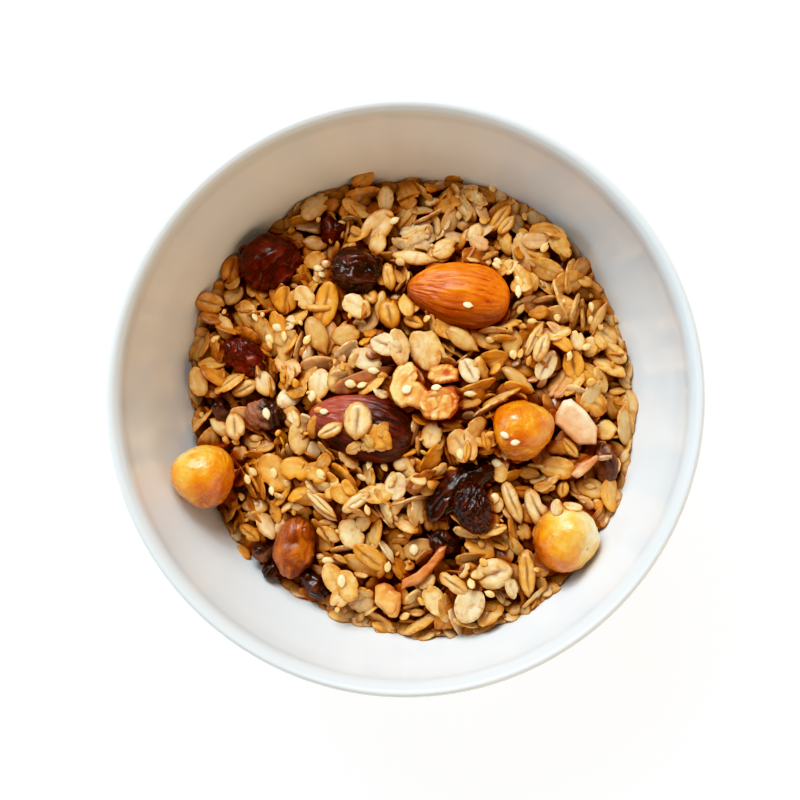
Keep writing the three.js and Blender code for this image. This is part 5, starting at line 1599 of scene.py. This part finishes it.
# ------------------------------------------------------------------ core
def build_core():
    nr, na = 52, 180
    th = np.arange(na) / na * 2 * np.pi
    ze = edge_height(th) - 2.8
    R = inner_radius(ze) - 0.6
    rows_top, rows_low = [], []
    for k in range(1, nr + 1):
        r = R * k / nr
        x, y = r * np.cos(th), r * np.sin(th)
        low = inner_height(r) + 0.4
        top = heap_height(x, y) - CORE_DEPTH * (1 - 0.4 * float(smoothstep(0.86, 0.98, k / nr))) + 1.2 * fbm(np.stack([x * 0.16, y * 0.16, 0 * x], 1), 2) \
            + 0.5 * fbm(np.stack([x * 0.6, y * 0.6, 0 * x + 4], 1), 3)
        for px, py, rad_, floor in PITS:
            cx, cy = place(px, py, floor)
            top = np.where(np.hypot(x - cx, y - cy) < rad_, np.minimum(top, floor - 1.5), top)
        top = np.maximum(top, low + 0.3)
        rows_top.append(np.stack([x, y, top], 1))
        rows_low.append(np.stack([x, y, low], 1))
    top, low = np.concatenate(rows_top), np.concatenate(rows_low)
    v = np.concatenate([top, low, [[0, 0, float(heap_height(0, 0)) - CORE_DEPTH], [0, 0, inner_height(0) + 0.4]]])
    t = grid_tris(nr, na)
    n = nr * na
    j = np.arange(na)
    last = (nr - 1) * na
    parts = [t, t[:, ::-1] + n,
             np.stack([np.full(na, 2 * n), j, (j + 1) % na], 1),
             np.stack([np.full(na, 2 * n + 1), n + (j + 1) % na, n + j], 1),
             np.stack([last + j, n + last + j, n + last + (j + 1) % na], 1),
             np.stack([last + j, n + last + (j + 1) % na, last + (j + 1) % na], 1)]
    t = np.concatenate(parts)
    return v, t


cv, ct = build_core()
core = make_object("granola_core", cv, ct, M_CORE)
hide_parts("granola")

# ------------------------------------------------------------------ bowl
def build_bowl():
    inner, outer = spline(INNER, 60), spline(OUTER, 44)
    prof = [(0, FOOT_H + 0.1), (9, FOOT_H + 0.09), (18, FOOT_H + 0.05), (25.6, FOOT_H - 0.15), (26.3, FOOT_H - 0.5),
            (26.8, 0.9), (27.05, 0.35), (27.4, 0.08), (28.0, 0.0), (30.0, 0.0), (30.6, 0.08), (31.0, 0.4), (31.25, 1.0), (31.4, 1.8)]
    prof += [tuple(p) for p in outer]
    (ox, oz), (ix, iz) = OUTER[-1], INNER[-1]
    for a in np.linspace(9, 90, 12):
        c, s = math.cos(math.radians(a)), math.sin(math.radians(a))
        prof.append((CREST_R + (ox - CREST_R) * c, oz + (HEIGHT - oz) * s))
    lip = [(ix, iz), (64.6, 59.35), (65.1, 60.5), (65.85, 61.45), (66.4, 61.85), (CREST_R, HEIGHT)]
    prof += [tuple(p) for p in spline(lip, 24)[::-1][1:-1]]
    prof += [tuple(p) for p in inner[::-1]]
    prof = np.array(prof)
    na = 256
    th = np.arange(na) / na * 2 * np.pi
    body = prof[1:-1]
    n = len(body)
    v = np.stack([np.outer(body[:, 0], np.cos(th)), np.outer(body[:, 0], np.sin(th)), np.repeat(body[:, 1:2], na, 1)], -1).reshape(-1, 3)
    v = np.concatenate([v, [[0, 0, prof[0, 1]], [0, 0, prof[-1, 1]]]])
    j = np.arange(na)
    last = (n - 1) * na
    t = np.concatenate([grid_tris(n, na),
                        np.stack([np.full(na, n * na), j, (j + 1) % na], 1),
                        np.stack([np.full(na, n * na + 1), last + (j + 1) % na, last + j], 1)])
    a, b, c = v[t[:, 0]], v[t[:, 1]], v[t[:, 2]]
    if np.einsum("ij,ij->", a, np.cross(b, c)) < 0:
        t = t[:, ::-1]
    return v, t


bv, bt = build_bowl()
bowl = make_object("porcelain_bowl", bv, bt, M_PORCELAIN)
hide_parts("bowl")

# =====================================================================================
# floor, light
# =====================================================================================
me = bpy.data.meshes.new("floor")
s = 3.0
me.from_pydata([(-s, -s, 0), (s, -s, 0), (s, s, 0), (-s, s, 0)], [], [(0, 1, 2, 3)])
floor = bpy.data.objects.new("floor", me)
bpy.context.scene.collection.objects.link(floor)
floor.location.z = -0.0002
fm = Mat("floor")
fm.set(Base_Color=fm.ramp(fm.noise(fm.coords(), 6.0), [(0.3, (0.9, 0.9, 0.9)), (0.7, (0.93, 0.93, 0.93))]), Roughness=0.9)
fm.bsdf.inputs["Emission Color"].default_value = (1, 1, 1, 1)
fm.bsdf.inputs["Emission Strength"].default_value = 0.6
me.materials.append(fm.m)
floor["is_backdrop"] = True


def area(name, at, size, power, color, target=(0, 0, 0.035)):
    d = bpy.data.lights.new(name, "AREA")
    d.shape, d.size, d.size_y = "RECTANGLE", size[0], size[1]
    d.energy, d.color = power, color
    o = bpy.data.objects.new(name, d)
    bpy.context.scene.collection.objects.link(o)
    o.location = at
    o.rotation_mode = "QUATERNION"
    o.rotation_quaternion = (Vector(at) - Vector(target)).to_track_quat("Z", "Y")
    return o


area("window", (-0.315, 0.845, 0.975), (0.95, 0.9), 24.3, (0.87, 0.96, 1.0))
area("glint", (-0.28, 0.8, 0.98), (0.2, 0.1), 3.4, (0.9, 0.96, 1.0))
area("side", (-1.15, 0.05, 0.62), (0.8, 0.6), 4.8, (0.36, 0.74, 1.0))
area("room", (0.8, -0.9, 0.66), (1.4, 1.0), 8.6, (1.0, 0.75, 0.5))
world = bpy.data.worlds.new("world")
bpy.context.scene.world = world
world.use_nodes = True
world.node_tree.nodes["Background"].inputs[0].default_value = (1.0, 0.81, 0.62, 1)
world.node_tree.nodes["Background"].inputs[1].default_value = 0.235
bpy.context.scene.view_settings.view_transform = "Standard"
bpy.context.scene.view_settings.look = "None"
# tone curve: a short toe and a soft shoulder
view = bpy.context.scene.view_settings
view.use_curve_mapping = True
WHITE = 1.4
view.curve_mapping.white_level = (WHITE, WHITE, WHITE)
view.curve_mapping.black_level = (0.0, 0.0015, 0.0045)
curve = view.curve_mapping.curves[3]
TOE_AND_SHOULDER = [(0.01, 0.008), (0.03, 0.0275), (0.06, 0.058), (0.1, 0.102), (0.2, 0.22), (0.35, 0.395), (0.5, 0.555),
                    (0.7, 0.745), (0.9, 0.9), (1.05, 0.965), (1.2, 0.99)]
for x, y in TOE_AND_SHOULDER:
    curve.points.new(x / WHITE, y)
for point in curve.points:
    point.handle_type = "AUTO_CLAMPED"
view.curve_mapping.update()

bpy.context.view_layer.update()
print("done", round(time.time() - T0, 1), "tris", sum(len(o.data.polygons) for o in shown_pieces()))
